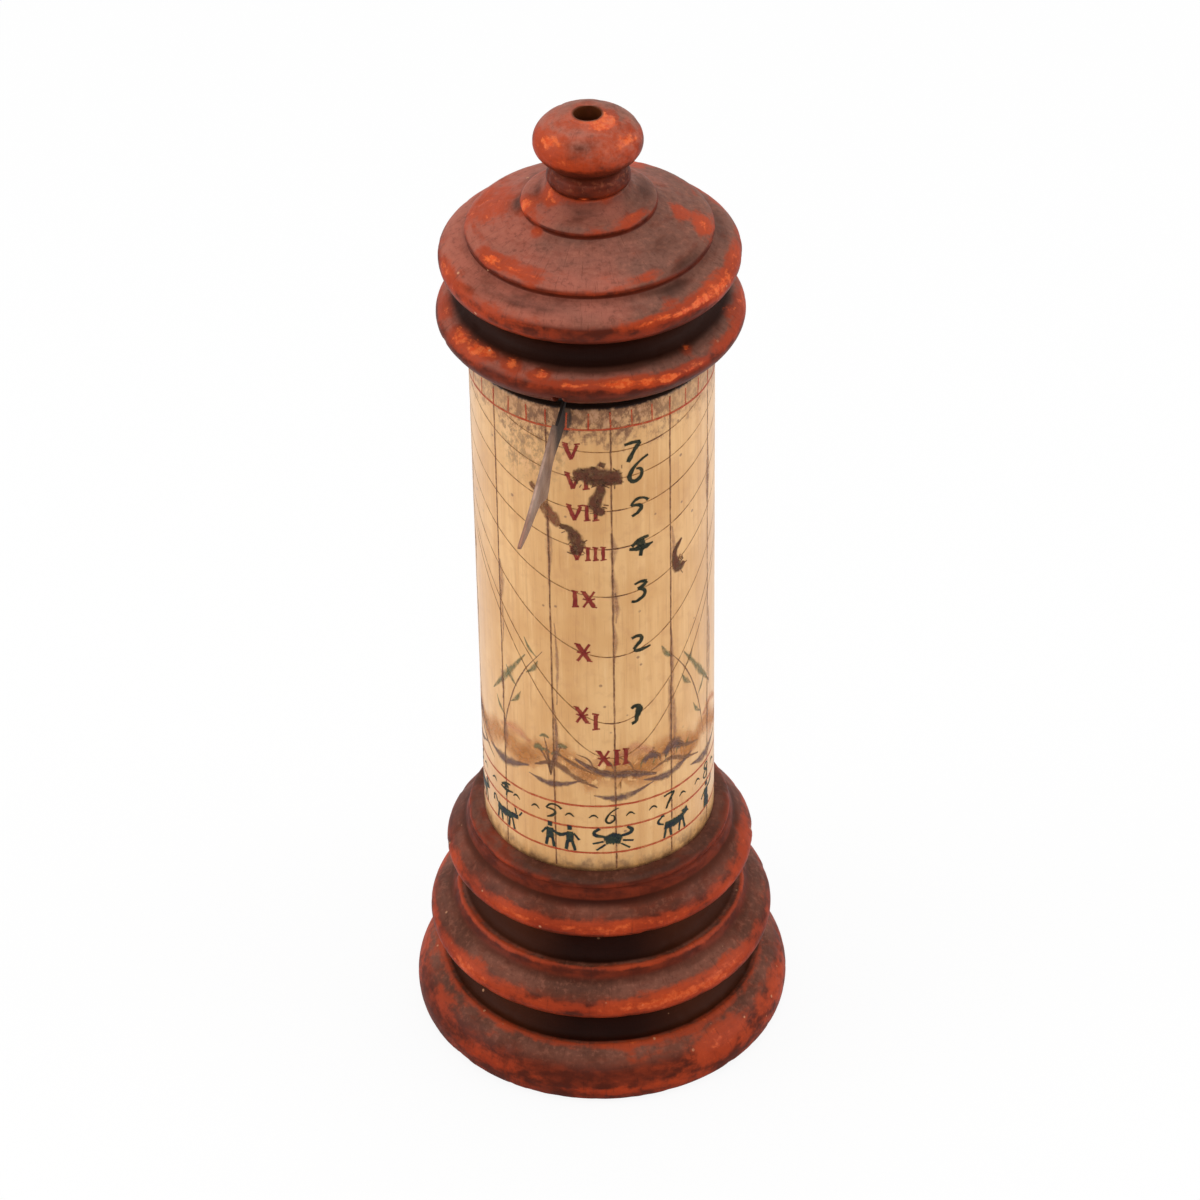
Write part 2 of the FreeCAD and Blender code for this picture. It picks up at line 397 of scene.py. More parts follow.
def scale_wood(sheet):
    """Pale varnished wood with long fibres, grime under the head and at the foot, a painted shadow in the gap
    under the head and beside the blade, and a bare inside.
    """
    place = place_in_mm(sheet)
    x, y, height = split(place)
    arc = place.maths("ARCTAN2", x, 0 - y) * pillar_radius_mm
    radius = place.maths("SQRT", x * x + y * y)
    fibres = noise(stretched(place, 1, 1, 0.035), 0.32, 4.0, 0.6)
    streaks = noise(stretched(place, 1, 1, 0.05), 1.5, 3.0)
    clouds = noise(place, 9.0, 3.0)
    mottle = noise(stretched(place, 1, 1, 0.6), 0.75, 6.0, 0.7)
    smears = noise(place, 2.6, 4.0, 0.6)
    colour = blend(step_up(clouds, 0.35, 0.65), paint(214, 160, 96), paint(228, 178, 116))
    colour = coat(step_up(streaks, 0.38, 0.66) * 0.5, colour, 204, 146, 82)
    colour = coat(step_up(fibres, 0.54, 0.72) * 0.36, colour, 174, 116, 60)
    colour = coat(step_up(1 - fibres, 0.56, 0.74) * 0.32, colour, 242, 200, 144)
    colour = coat(step_up(noise(place, 1.6, 4.0, 0.6), 0.50, 0.68) * 0.3, colour, 196, 138, 84)
    hands = step_up(spot(arc, height, -9.0, 103.5, 7.0, 8.0) + (smears - 0.5) * 1.4, 0.1, 0.6)
    colour = coat(hands * step_up(mottle, 0.44, 0.60) * 0.62, colour, 132, 98, 60)
    colour = coat(hands * step_up(1 - mottle, 0.50, 0.64) * 0.45, colour, 226, 176, 130)
    rim_grime = step_up(height + (mottle - 0.5) * 10 + (smears - 0.5) * 8, 104.8, 109.4)
    rim_grime = rim_grime * (1 - step_up(arc.maths("ABSOLUTE", arc), 6.0, 13.0) * 0.45)
    colour = coat(rim_grime * 0.75, colour, 146, 100, 72)
    colour = coat(rim_grime * step_up(mottle, 0.44, 0.58) * 0.65, colour, 92, 54, 36)
    colour = coat(rim_grime * step_up(1 - mottle, 0.50, 0.62) * 0.5, colour, 206, 156, 122)
    low = height + (smears - 0.5) * 7 + (mottle - 0.5) * 4
    colour = coat((1 - step_up(low, joint_mm - 0.4, joint_mm + 3.2)) * 0.5, colour, 142, 104, 68)
    colour = coat((1 - step_up(low, joint_mm - 1.0, joint_mm + 2.2)) * 0.7, colour, 84, 52, 34)
    dots = place.node("ShaderNodeTexVoronoi", {"Vector": place, "Scale": 0.36, "Randomness": 1.0})
    dotted = (1 - step_up(dots, 0.06, 0.11)) * step_up(noise(place, 6.0), 0.5, 0.56)
    colour = coat(dotted * 0.7, colour, 116, 72, 44)
    outside = step_up(radius, 15.6, 15.75)
    colour = blend(outside, blend(step_up(fibres, 0.4, 0.7), paint(150, 108, 68), paint(104, 70, 44)), colour)
    # Painted shadow: near-black in the gap under the head and on the rim it sits on, and a streak beside the
    # blade.
    gap_shadow = step_up(height + (mottle - 0.5) * 0.5, 110.7, 110.95)
    gap_shadow = gap_shadow * step_up(radius + (smears - 0.5) * 3, 11.5, 15.0)
    blade_shadow = step_up(spot(arc, height, -3.4, 110.0, 0.9, 3.6) + (mottle - 0.5) * 0.5, 0.0, 0.4)
    colour = coat(gap_shadow.maths("MAXIMUM", gap_shadow, blade_shadow * 0.85) * 0.96, colour, 20, 7, 5)
    return {"Base Color": colour, "Roughness": 0.42 + (clouds - 0.5) * 0.2 + rim_grime * 0.15,
            "Coat Weight": 0.55 * (1 - rim_grime), "Normal": bumps(fibres * 0.8 + streaks * 0.6, 0.06)}


def spigot_wood(sheet):
    place = place_in_mm(sheet)
    fibres = noise(stretched(place, 1, 1, 0.06), 0.4, 4.0, 0.6)
    clouds = noise(place, 5.0)
    colour = blend(step_up(clouds, 0.3, 0.7), paint(176, 128, 82), paint(196, 148, 100))
    colour = coat(step_up(fibres, 0.5, 0.72) * 0.6, colour, 128, 84, 50)
    return {"Base Color": colour, "Roughness": 0.6 + (clouds - 0.5) * 0.2, "Normal": bumps(fibres, 0.07)}


def dark_leather(sheet):
    place = place_in_mm(sheet)
    grain = noise(place, 0.35, 4.0, 0.6)
    # Near-black leather, darkened so the washer also stands for the shade in the gap under the head: partly
    # painted shade.
    colour = blend(step_up(grain, 0.35, 0.65), paint(12, 8, 6), paint(28, 18, 13))
    return {"Base Color": colour, "Roughness": 0.72 + (grain - 0.5) * 0.2, "Normal": bumps(grain, 0.06)}


def aged_steel(sheet):
    """Brown-patinated steel: dark by the head with patina and a painted shadow, lilac-grey along the blade,
    warmer at the tip.
    """
    place = place_in_mm(sheet)
    x, y, height = split(place)
    reach = place.maths("SQRT", x * x + y * y)
    along = noise(stretched(place, 0.35, 0.35, 1), 0.7, 5.0, 0.65)
    patches = noise(place, 2.4, 4.0, 0.6)
    colour = blend(step_up(patches, 0.35, 0.65), paint(126, 96, 80), paint(152, 124, 108))
    colour = coat(step_up(along, 0.52, 0.72) * 0.6, colour, 112, 80, 62)
    colour = coat(step_up(reach, 34.0, 41.0) * 0.75, colour, 126, 78, 56)
    # Dark patina and a painted shadow of the head's overhang on the blade near the head.
    near_head_patina_and_shadow = 1 - step_up(reach + (patches - 0.5) * 2.0, 19.8, 24.5)
    colour = coat(near_head_patina_and_shadow, colour, 30, 18, 10)
    return {"Base Color": colour, "Roughness": 0.42 + (along - 0.5) * 0.3 + near_head_patina_and_shadow * 0.3,
            "Metallic": (0.55 + (patches - 0.5) * 0.3) * (1 - near_head_patina_and_shadow), "Normal": bumps(along, 0.03)}


def ink_finish(colour, weaker_colour, strength, patchiness, soft_edge, ragged=0.7, ragged_mm=0.28, detail=4.0):
    """Ink or thin paint. It is thinner where the pen ran dry and along the edges of a stroke."""
    def finish(sheet):
        place = place_in_mm(sheet)
        across, tip = attribute(sheet, "across"), attribute(sheet, "tip")
        flow = noise(place, 0.9, 4.0, 0.6)
        dry = noise(stretched(place, 1, 1, 0.35), ragged_mm, detail, 0.6)
        edge = across.maths("MINIMUM", 1 - across.maths("ABSOLUTE", across), tip)
        body = step_up(edge + (dry - 0.5) * ragged, 0.0, soft_edge)
        cover = 1 - (step_up(flow, 0.42, 0.72) * 0.6 + step_up(dry, 0.5, 0.7) * 0.4) * patchiness
        tone = blend(step_up(flow, 0.35, 0.65), colour, weaker_colour)
        return {"Base Color": tone, "Alpha": body * cover * strength, "Roughness": 0.45 + flow * 0.1}
    return finish


# Turned pieces

def smooth_run(points, spacing_mm):
    """Points at an even spacing along a smooth curve through the given ones."""
    points = np.array(points, float)
    spans = np.linalg.norm(np.diff(points, axis=0), axis=1)
    ends = np.r_[0, np.cumsum(spans)]
    count = len(points)
    rows, sides = np.eye(count), np.zeros((count, 2))
    slopes = np.diff(points, axis=0) / spans[:, None]
    for i in range(1, count - 1):
        rows[i, i - 1:i + 2] = spans[i - 1], 2 * (spans[i - 1] + spans[i]), spans[i]
        sides[i] = 6 * (slopes[i] - slopes[i - 1])
    bend = np.linalg.solve(rows, sides)
    where = np.linspace(0, ends[-1], max(2, round(ends[-1] / spacing_mm) + 1))
    i = np.clip(np.searchsorted(ends, where) - 1, 0, count - 2)
    after, before, span = (where - ends[i])[:, None], (ends[i + 1] - where)[:, None], spans[i][:, None]
    return (
        (bend[i] * before ** 3 + bend[i + 1] * after ** 3) / (6 * span)
        + (points[i] / span - bend[i] * span / 6) * before
        + (points[i + 1] / span - bend[i + 1] * span / 6) * after
    )


def outline(start, *runs, spacing_mm=0.3):
    """A turned outline as (radius, height) points. A run of one point is straight, a longer one is smooth."""
    points = [np.array([start], float)]
    for run in runs:
        whole = smooth_run([tuple(points[-1][-1])] + run, spacing_mm)
        points.append(whole[1:])
    return np.vstack(points)


def standing_proud(points, reach_mm):
    """How far each point of an outline stands out from the outline around it: crowns above 0, hollows below."""
    steps = np.linalg.norm(np.diff(points, axis=0), axis=1)
    along = np.r_[0, np.cumsum(steps)]
    direction = np.gradient(points, axis=0)
    outward = np.c_[direction[:, 1], -direction[:, 0]] / (np.linalg.norm(direction, axis=1)[:, None] + 1e-9)
    share = np.exp(-((along[:, None] - along[None, :]) / reach_mm) ** 2) * np.gradient(along)[None, :]
    return ((points - share @ points / share.sum(1)[:, None]) * outward).sum(1)


def stored(shape, name, value):
    return shape.node("GeometryNodeStoreNamedAttribute", {"Geometry": shape, "Name": name, "Value": value},
                      {"data_type": "FLOAT", "domain": "POINT"})


def lathe_tree():
    """Turns an outline round the axis, then presses small dents into it."""
    tree, given = new_geometry_tree("lathe", [
        ("Steps round", "Int"), ("Dent depth", "Float"), ("Dent size", "Float"), ("Seed", "Float"),
        ("Material", "Material"),
    ])
    start, steps = given["Geometry"], given["Steps round"]
    rows = start.node("GeometryNodeAttributeDomainSize", {0: start}, {"component": "MESH"}, "Point Count")
    body = start.node("GeometryNodeMeshGrid", {"Vertices X": steps + 1, "Vertices Y": rows})
    index = start.node("GeometryNodeInputIndex")
    row = index.maths("MODULO", index, rows)
    angle = index.maths("FLOOR", (index + 0.5) / rows) / steps * math.tau
    position = start.node("GeometryNodeInputPosition")

    def on_outline(value, kind):
        return start.node("GeometryNodeSampleIndex", {"Geometry": start, "Value": value, "Index": row},
                          {"data_type": kind})

    radius, _, height = split(on_outline(position, "FLOAT_VECTOR"))
    turned = vector(start, radius * angle.maths("COSINE", angle), radius * angle.maths("SINE", angle), height)
    body = body.node("GeometryNodeSetPosition", {"Geometry": body, "Position": turned})
    for name in ("crown", "hollow", "along"):
        value = start.node("GeometryNodeInputNamedAttribute", {"Name": name}, {"data_type": "FLOAT"})
        body = stored(body, name, on_outline(value, "FLOAT"))
    body = body.node("GeometryNodeMergeByDistance", {"Geometry": body, "Distance": 1e-6})
    where = shifted(position, vector(start, given["Seed"], given["Seed"], given["Seed"]))
    blotch = where.node("ShaderNodeTexNoise", {"Vector": where, "Scale": 1 / given["Dent size"], "Detail": 2.0})
    dent = step_up(blotch, 0.52, 0.80) * given["Dent depth"] * -1.0
    outward = start.node("GeometryNodeInputNormal")
    body = stored(body, "upward", split(outward)[2])
    body = body.node("GeometryNodeSetPosition", {"Geometry": body, "Offset": scaled(outward, dent)})
    body = body.node("GeometryNodeSetShadeSmooth", {"Geometry": body, "Shade Smooth": True})
    body = body.node("GeometryNodeRealizeInstances", {"Geometry": body})
    body = body.node("GeometryNodeSetMaterial", {"Geometry": body, "Material": given["Material"]})
    body.node("NodeGroupOutput", {"Geometry": body})
    return tree


def turned_piece(name, points_mm, tree, material, steps, dent_mm, seed, plain=(), shallow=()):
    """points_mm runs up the outside of the piece, as (radius, height). plain and shallow list (height, half
    height, share): of the edges that hands rub less, and of the grooves that get less dirt and less painted
    shade."""
    mesh = bpy.data.meshes.new(name + "_outline")
    count = len(points_mm)
    mesh.from_pydata([(r * mm, 0, z * mm) for r, z in points_mm], [(i, i + 1) for i in range(count - 1)], [])
    crown = np.clip(standing_proud(points_mm, 1.6) / 0.35, 0, 1)
    hollow = np.clip(-standing_proud(points_mm, 2.4) / 0.5, 0, 1)
    for height, half_height, share in plain:
        crown[np.abs(points_mm[:, 1] - height) < half_height] *= share
    for height, half_height, share in shallow:
        hollow[np.abs(points_mm[:, 1] - height) < half_height] *= share
    along = np.r_[0, np.cumsum(np.linalg.norm(np.diff(points_mm, axis=0), axis=1))]
    for label, values in (("crown", crown), ("hollow", hollow), ("along", along)):
        mesh.attributes.new(label, "FLOAT", "POINT").data.foreach_set("value", values)
    return grown(name, mesh, tree, {
        "Steps round": steps, "Dent depth": dent_mm * mm, "Dent size": 2.6 * mm, "Seed": seed * 0.1,
        "Material": material,
    })


def mark(piece, label, places):
    """Marks where the stain has worn through, or where dirt and painted shade gather: azimuth, height, half
    width and half height in millimetres, and strength. Strength below 0 keeps the stain whole or the wood clean
    and unshaded."""
    points = np.empty(len(piece.data.vertices) * 3)
    piece.data.vertices.foreach_get("co", points)
    x, y, z = points.reshape(-1, 3).T / mm
    azimuth, radius = np.degrees(np.arctan2(x, -y)), np.hypot(x, y)
    marked = np.zeros(len(x))
    for centre, height, half_width, half_height, strength in places:
        turn = np.radians((azimuth - centre + 180) % 360 - 180) * radius
        marked += strength * np.exp(-(turn / half_width) ** 2 - ((z - height) / half_height) ** 2)
    piece.data.attributes.new(label, "FLOAT", "POINT").data.foreach_set("value", marked)


def cut_notch(piece):
    """Saws the gnomon's notch into the underside of the cap."""
    corners = [(reach, side * notch_half_width_mm, z)
               for reach in (0, notch_reach_mm) for side in (-1, 1) for z in (100, notch_roof_mm)]
    mesh = bpy.data.meshes.new("notch")
    mesh.from_pydata([Vector(c) * mm for c in corners], [], [
        (0, 1, 3, 2), (4, 6, 7, 5), (0, 4, 5, 1), (2, 3, 7, 6), (0, 2, 6, 4), (1, 5, 7, 3),
    ])
    mesh.transform(Matrix.Rotation(math.radians(gnomon_heading), 4, "Z"))
    mesh.materials.append(piece.data.materials[0])
    saw = placed("notch", mesh)
    modifier = piece.modifiers.new("notch", "BOOLEAN")
    modifier.operation, modifier.solver, modifier.object = "DIFFERENCE", "EXACT", saw
    mesh = bpy.data.meshes.new_from_object(piece.evaluated_get(bpy.context.evaluated_depsgraph_get()))
    piece.modifiers.clear()
    piece.data = mesh
    bpy.data.objects.remove(saw)


def foot_outline():
    return outline(
        (0, 0), [(25.2, 0)],
        [(25.9, 0.35), (26.35, 1.6), (26.3, 3.2), (25.3, 5.3), (24.0, 6.6), (22.9, 7.3)],
        [(22.6, 7.6)],
        [(21.4, 7.6), (20.5, 8.6), (20.2, 10.2), (20.9, 12.0), (22.4, 13.1)],
        [(23.5, 13.5), (24.05, 14.4), (24.05, 15.3), (23.5, 16.3), (22.3, 17.3), (20.9, 18.3), (20.3, 19.3)],
        [(20.0, 19.7)],
        [(18.9, 19.8), (17.9, 20.8), (17.6, 22.4), (18.2, 24.4), (19.5, 25.6)],
        [(20.6, 25.9), (21.3, 26.7), (21.4, 27.6), (20.9, 28.6), (19.7, 29.8), (18.7, 30.9), (18.3, 31.9)],
        [(18.0, 32.2)],
        [(18.2, 32.9), (17.7, 33.4), (16.8, 33.7), (16.0, 33.8)],
        [(11.0, 33.8)], [(11.0, 22.0)], [(0, 22.0)],
    )


def pillar_outline():
    return outline(
        (0, 22.0), [(11.0, 22.0)], [(11.0, 33.8)], [(16.0, 33.8)], [(16.0, 110.75)], [(15.75, 111.0)],
        [(8.1, 111.0)], [(8.1, 60.0)], [(0, 60.0)], spacing_mm=0.6,
    )


def cap_outline():
    return outline(
        (0, 120.0), [(8.0, 120.0)], [(8.0, 111.75)], [(14.9, 111.75)], [(15.1, 112.15)],
        [(17.0, 112.8), (18.7, 113.85), (19.65, 115.0), (19.95, 115.9), (19.6, 116.9), (18.6, 117.8),
         (17.3, 118.5)],
        [(16.5, 119.2), (16.2, 120.3), (16.8, 121.5), (17.9, 122.3)],
        [(18.9, 123.0), (19.35, 124.0), (19.3, 125.0), (18.7, 125.8), (17.4, 126.6), (16.1, 127.2),
         (15.8, 127.5)],
        [(15.6, 127.7)],
        [(15.95, 128.2), (15.5, 128.8), (13.4, 129.7), (10.8, 130.7), (9.1, 131.4), (8.5, 131.8)],
        [(8.75, 132.3), (8.3, 132.8), (6.9, 133.4), (5.7, 134.2), (5.0, 135.1)],
        [(3.4, 135.1)], [(3.4, 127.0)], [(0, 127.0)],
    )


def knob_outline():
    return outline(
        (0, 127.0), [(3.4, 127.0)], [(3.4, 135.1)], [(4.9, 135.1)],
        [(5.35, 135.7), (5.3, 136.5), (4.9, 137.3)],
        [(4.8, 137.9), (5.2, 138.5)],
        [(6.1, 139.2), (6.85, 140.2), (7.0, 141.0), (6.65, 142.3), (5.5, 143.55), (4.0, 144.4), (2.6, 144.8),
         (1.8, 144.84)],
        [(1.8, 131.0)], [(0, 131.0)], spacing_mm=0.16,
    )


def dressed_copy(name, node, material, edge_mm):
    """A copy of a CAD node with its triangles joined and its edges eased."""
    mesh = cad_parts[node].data.copy()
    build = bmesh.new()
    build.from_mesh(mesh)
    bmesh.ops.remove_doubles(build, verts=build.verts, dist=1e-6)
    bmesh.ops.dissolve_limit(build, angle_limit=math.radians(1.0), verts=build.verts, edges=build.edges)
    build.to_mesh(mesh)
    build.free()
    mesh.materials.clear()
    mesh.materials.append(material)
    piece = placed(name, mesh)
    modifier = piece.modifiers.new("eased", "BEVEL")
    modifier.width, modifier.segments, modifier.limit_method = edge_mm * mm, 2, "ANGLE"
    modifier.angle_limit = math.radians(35)
    mesh = bpy.data.meshes.new_from_object(piece.evaluated_get(bpy.context.evaluated_depsgraph_get()))
    piece.modifiers.clear()
    piece.data = mesh
    mesh.polygons.foreach_set("use_smooth", [True] * len(mesh.polygons))
    mesh.set_sharp_from_angle(angle=math.radians(40))
    return piece


# Pen and brush work on the pillar. A stroke is drawn flat, as (arc from the front, height) in millimetres.

def ink_tree():
    """Lays flat strokes round the pillar as thin ribbons, with a slightly unsteady hand."""
    tree, given = new_geometry_tree("pen_work", [
        ("Copies", "Int"), ("Copy step", "Float"), ("Pillar radius", "Float"), ("Layer", "Float"),
        ("Unsteadiness", "Float"), ("Uneven pressure", "Float"), ("Spacing", "Float"), ("Seed", "Float"),
        ("Material", "Material"),
    ])
    strokes = given["Geometry"]
    apart = vector(strokes, given["Copy step"])
    places = strokes.node("GeometryNodeMeshLine", {"Count": given["Copies"], "Offset": apart})
    strokes = strokes.node("GeometryNodeInstanceOnPoints", {"Points": places, "Instance": strokes})
    strokes = strokes.node("GeometryNodeRealizeInstances", {"Geometry": strokes})
    strokes = strokes.node("GeometryNodeResampleCurve", {"Curve": strokes, "Length": given["Spacing"]},
                           {"mode": "LENGTH"})
    position = strokes.node("GeometryNodeInputPosition")
    where = shifted(position, vector(strokes, z=given["Seed"]))
    shake = where.node("ShaderNodeTexNoise", {"Vector": where, "Scale": 420.0, "Detail": 2.0}, output="Color")
    shake = scaled(stretched(shifted(shake, (-0.5, -0.5, -0.5)), 1, 1, 0), given["Unsteadiness"])
    strokes = strokes.node("GeometryNodeSetPosition", {"Geometry": strokes, "Offset": shake})
    strokes = strokes.node("GeometryNodeSetCurveNormal", {"Curve": strokes}, {"mode": "Z_UP"})
    press = where.node("ShaderNodeTexNoise", {"Vector": where, "Scale": 900.0, "Detail": 2.0})
    pressure = strokes.node("GeometryNodeInputRadius") * (1 + (press - 0.5) * given["Uneven pressure"])
    whole = strokes.node("GeometryNodeSplineLength", output="Length")
    drawn_so_far = strokes.node("GeometryNodeSplineParameter", output="Length")
    tip = whole.maths("MINIMUM", drawn_so_far, whole - drawn_so_far) / pressure
    strokes = stored(strokes, "tip", tip)
    nib = strokes.node("GeometryNodeCurvePrimitiveLine", {"Start": (-1, 0, 0), "End": (1, 0, 0)})
    nib = nib.node("GeometryNodeResampleCurve", {"Curve": nib, "Count": 5})
    nib = stored(nib, "across", nib.node("GeometryNodeSplineParameter") * 2 - 1)
    ribbons = strokes.node("GeometryNodeCurveToMesh",
                           {"Curve": strokes, "Profile Curve": nib, "Scale": pressure})
    arc, height, _ = split(position)
    radius = given["Pillar radius"] + given["Layer"]
    angle = arc / given["Pillar radius"]
    wrapped = vector(position, radius * angle.maths("SINE", angle),
                     radius * angle.maths("COSINE", angle) * -1.0, height)
    ribbons = ribbons.node("GeometryNodeSetPosition", {"Geometry": ribbons, "Position": wrapped})
    ribbons = ribbons.node("GeometryNodeSetShadeSmooth", {"Geometry": ribbons, "Shade Smooth": True})
    ribbons = ribbons.node("GeometryNodeSetMaterial", {"Geometry": ribbons, "Material": given["Material"]})
    ribbons.node("NodeGroupOutput", {"Geometry": ribbons})
    return tree


def stroke(points, width, taper=0.0, turn_up=1.0):
    """One pen stroke. taper 0 keeps its width, and 1 thins both ends to a point."""
    count = len(points)
    widths = [width * (1 - taper * abs(2 * i / max(1, count - 1) - 1) ** turn_up) for i in range(count)]
    return [(x, z, w) for (x, z), w in zip(points, widths)]


def drawn(name, strokes, tree, material, layer_mm, unsteadiness_mm=0.06, spacing_mm=0.2, copies=1, step_mm=0.0):
    """All strokes of one pen as one ribbon mesh on the pillar."""
    curve = bpy.data.curves.new(name, "CURVE")
    curve.dimensions = "3D"
    for points in strokes:
        spline = curve.splines.new("BEZIER")
        spline.bezier_points.add(len(points) - 1)
        for knot, (x, z, width) in zip(spline.bezier_points, points):
            knot.co = (x * mm, z * mm, 0)
            knot.radius = max(width, 0.02) * mm / 2
            knot.handle_left_type = knot.handle_right_type = "AUTO"
    return grown(name, curve, tree, {
        "Copies": copies, "Copy step": step_mm * mm, "Pillar radius": pillar_radius_mm * mm,
        "Layer": layer_mm * mm, "Unsteadiness": unsteadiness_mm * mm, "Uneven pressure": 0.9,
        "Spacing": spacing_mm * mm,
        "Seed": len(name) * 0.01, "Material": material,
    })


# J is the 1 of the hour row, which is written with a hook.
pen_numbers = {
    "0": [[(3, 10, 1.6), (0.5, 7, 2.0), (0.5, 3, 1.9), (3, 0, 1.4), (5.5, 3, 1.9), (5.3, 7.5, 1.6),
           (3, 10, 1.2)]],
    "1": [[(1.2, 7.6, 1.2), (2.6, 8.8, 1.6), (3.8, 10, 1.8)], [(3.8, 10, 1.9), (3.1, 5, 2.2), (2.3, 0, 1.7)]],
    "J": [[(0, 8.6, 1.6), (1.7, 9.9, 2.0), (3.6, 9.1, 3.2), (3.5, 6.3, 3.5), (2.7, 3.5, 2.5), (2.2, 0.9, 1.9),
           (0.1, 0, 1.6)]],
    "2": [[(0, 8.9, 1.8), (2.7, 10, 2.0), (5.3, 9.5, 2.2), (5.6, 6.8, 2.4), (3.1, 3.9, 2.5), (1.2, 1.2, 2.4)],
          [(1.0, 0.8, 2.0), (3.4, 0, 2.4), (6.9, 0.4, 2.2), (11.2, 1.4, 1.3)]],
    "3": [[(1.5, 9.1, 1.2), (4.3, 10, 1.5), (7.3, 9.5, 1.8)],
          [(7.2, 9.4, 1.5), (5.2, 7.4, 2.0), (2.8, 6.5, 1.5)],
          [(3.0, 6.5, 1.5), (5.9, 5.2, 1.9), (6.1, 2.7, 1.9), (4.2, 1.0, 1.7), (2.0, 0, 1.5), (0, 0.4, 1.3)]],
    "4": [[(9.0, 9.8, 1.4), (5.6, 9.0, 2.2), (1.0, 6.0, 2.0)], [(0, 4.8, 1.3), (3.6, 4.4, 2.8), (6.9, 4.6, 2.8),
          (11.0, 5.8, 0.9)], [(3.2, 6.4, 3.4), (7.4, 7.5, 3.4)], [(5.8, 4.6, 2.4), (5.0, 0.1, 1.7)]],
    "5": [[(9.1, 7.6, 2.2), (7.8, 9.0, 1.6), (5.4, 10, 1.5), (2.8, 9.6, 1.8), (1.0, 7.8, 1.8), (0, 6.2, 1.3)],
          [(0.1, 6.2, 1.3), (2.9, 6.4, 1.7), (5.4, 4.9, 2.2), (4.0, 2.2, 2.4), (0.4, 0, 1.5)]],
    "6": [[(7.2, 10, 0.8), (4.6, 8.6, 1.1), (2.1, 6.4, 1.4), (0.6, 4.0, 1.7), (0, 1.8, 1.8), (1.2, 0, 1.8),
           (3.4, 0.6, 1.6), (4.7, 2.7, 1.5), (4.2, 4.8, 1.3), (2.5, 5.2, 0.9)]],
    "7": [[(0, 9.3, 1.6), (3.8, 10, 1.9), (7.5, 9.7, 1.8)], [(7.3, 9.8, 1.8), (4.8, 6.2, 2.3), (2.8, 2.8, 2.2),
          (1.6, 0, 1.9)]],
    "8": [[(5.6, 9.4, 1.3), (2.6, 10, 1.7), (1.4, 7.6, 1.9), (4.6, 4.6, 1.9), (4.8, 1.4, 1.8), (2.2, 0, 1.6),
           (0.4, 2.4, 1.6), (3.6, 5.6, 1.6), (5.8, 8.6, 1.2)]],
    "9": [[(5.4, 8.6, 1.4), (3.0, 10, 1.7), (0.7, 8.0, 1.9), (1.6, 5.4, 1.7), (4.4, 6.0, 1.6), (5.6, 8.2, 1.5)],
          [(5.6, 8.4, 1.5), (4.8, 4.2, 1.9), (2.4, 0, 1.5)]],
}
roman_letters = {
    "V": (8.6, [([(0.4, 9.4), (3.6, 0.2)], 3.0), ([(3.4, 0.4), (6.6, 9.0)], 2.2),
                ([(-0.8, 9.8), (2.2, 9.2)], 1.1), ([(5, 9.2), (8.0, 9.8)], 1.1)]),
    "I": (4.4, [([(1, 9.2), (1, 0.6)], 2.6), ([(-0.7, 9.7), (2.7, 9.1)], 1.2),
                ([(-0.7, 0.2), (2.9, 0.8)], 1.2)]),
    "X": (8.4, [([(0.6, 9.4), (5.6, 0.4)], 2.7), ([(5.8, 9.6), (0.4, 0.2)], 1.6),
                ([(0.2, 5.3), (3.2, 4.6), (6.0, 5.4)], 1.1), ([(-0.8, 9.6), (1.8, 9.2)], 1.1),
                ([(4.6, 0.6), (7.0, 0.2)], 1.0)]),
}


def written(number, x, z, height_mm, weight=1.1):
    """Pen strokes of a number whose lower left corner is at (x, z). The nib presses as each stroke says."""
    scale = height_mm / 10
    strokes, start = [], x
    for digit in number:
        for points in pen_numbers[digit]:
            strokes.append([(start + px * scale, z + pz * scale, width * scale * weight)
                            for px, pz, width in points])
        start += (5.0 if digit == "1" else 8.4) * scale
    return strokes


def roman(number, x, z, height_mm, drop=0.0):
    scale = height_mm / 10
    strokes = []
    for letter in number:
        advance, parts = roman_letters[letter]
        for points, width in parts:
            strokes.append(stroke([(x + px * scale, z + pz * scale) for px, pz in points], width * scale, 0.12))
        x, z = x + advance * scale, z - drop
    return strokes


def month_arc(month):
    """Arc of a month's line. June faces the front, and the year runs to the right."""
    azimuth = june_azimuth + month_step * (month - 6)
    return ((azimuth + 180) % 360 - 180) * arc_per_degree_mm


def shadow_height(azimuth, hour_angle):
    """Where the gnomon's shadow ends at an hour on the day of an azimuth. None while the sun is down."""
    tilt, place, turn = math.radians(sun_tilt), math.radians(latitude), math.radians(hour_angle)
    declination = math.asin(math.sin(tilt) * math.cos(math.radians(azimuth - june_azimuth)))
    sine = (math.sin(place) * math.sin(declination)
            + math.cos(place) * math.cos(declination) * math.cos(turn))
    return None if sine < 0.004 else zero_ring_mm - gnomon_reach_mm * math.tan(math.asin(sine))


def hour_curves():
    curves = []
    for hour_angle in range(0, 106, 15):
        run = []
        for azimuth in range(-180, 181, 3):
            height = shadow_height(azimuth, hour_angle)
            if height is not None:
                run.append((azimuth * arc_per_degree_mm, height, 0.25))
        curves.append(run)
    return curves


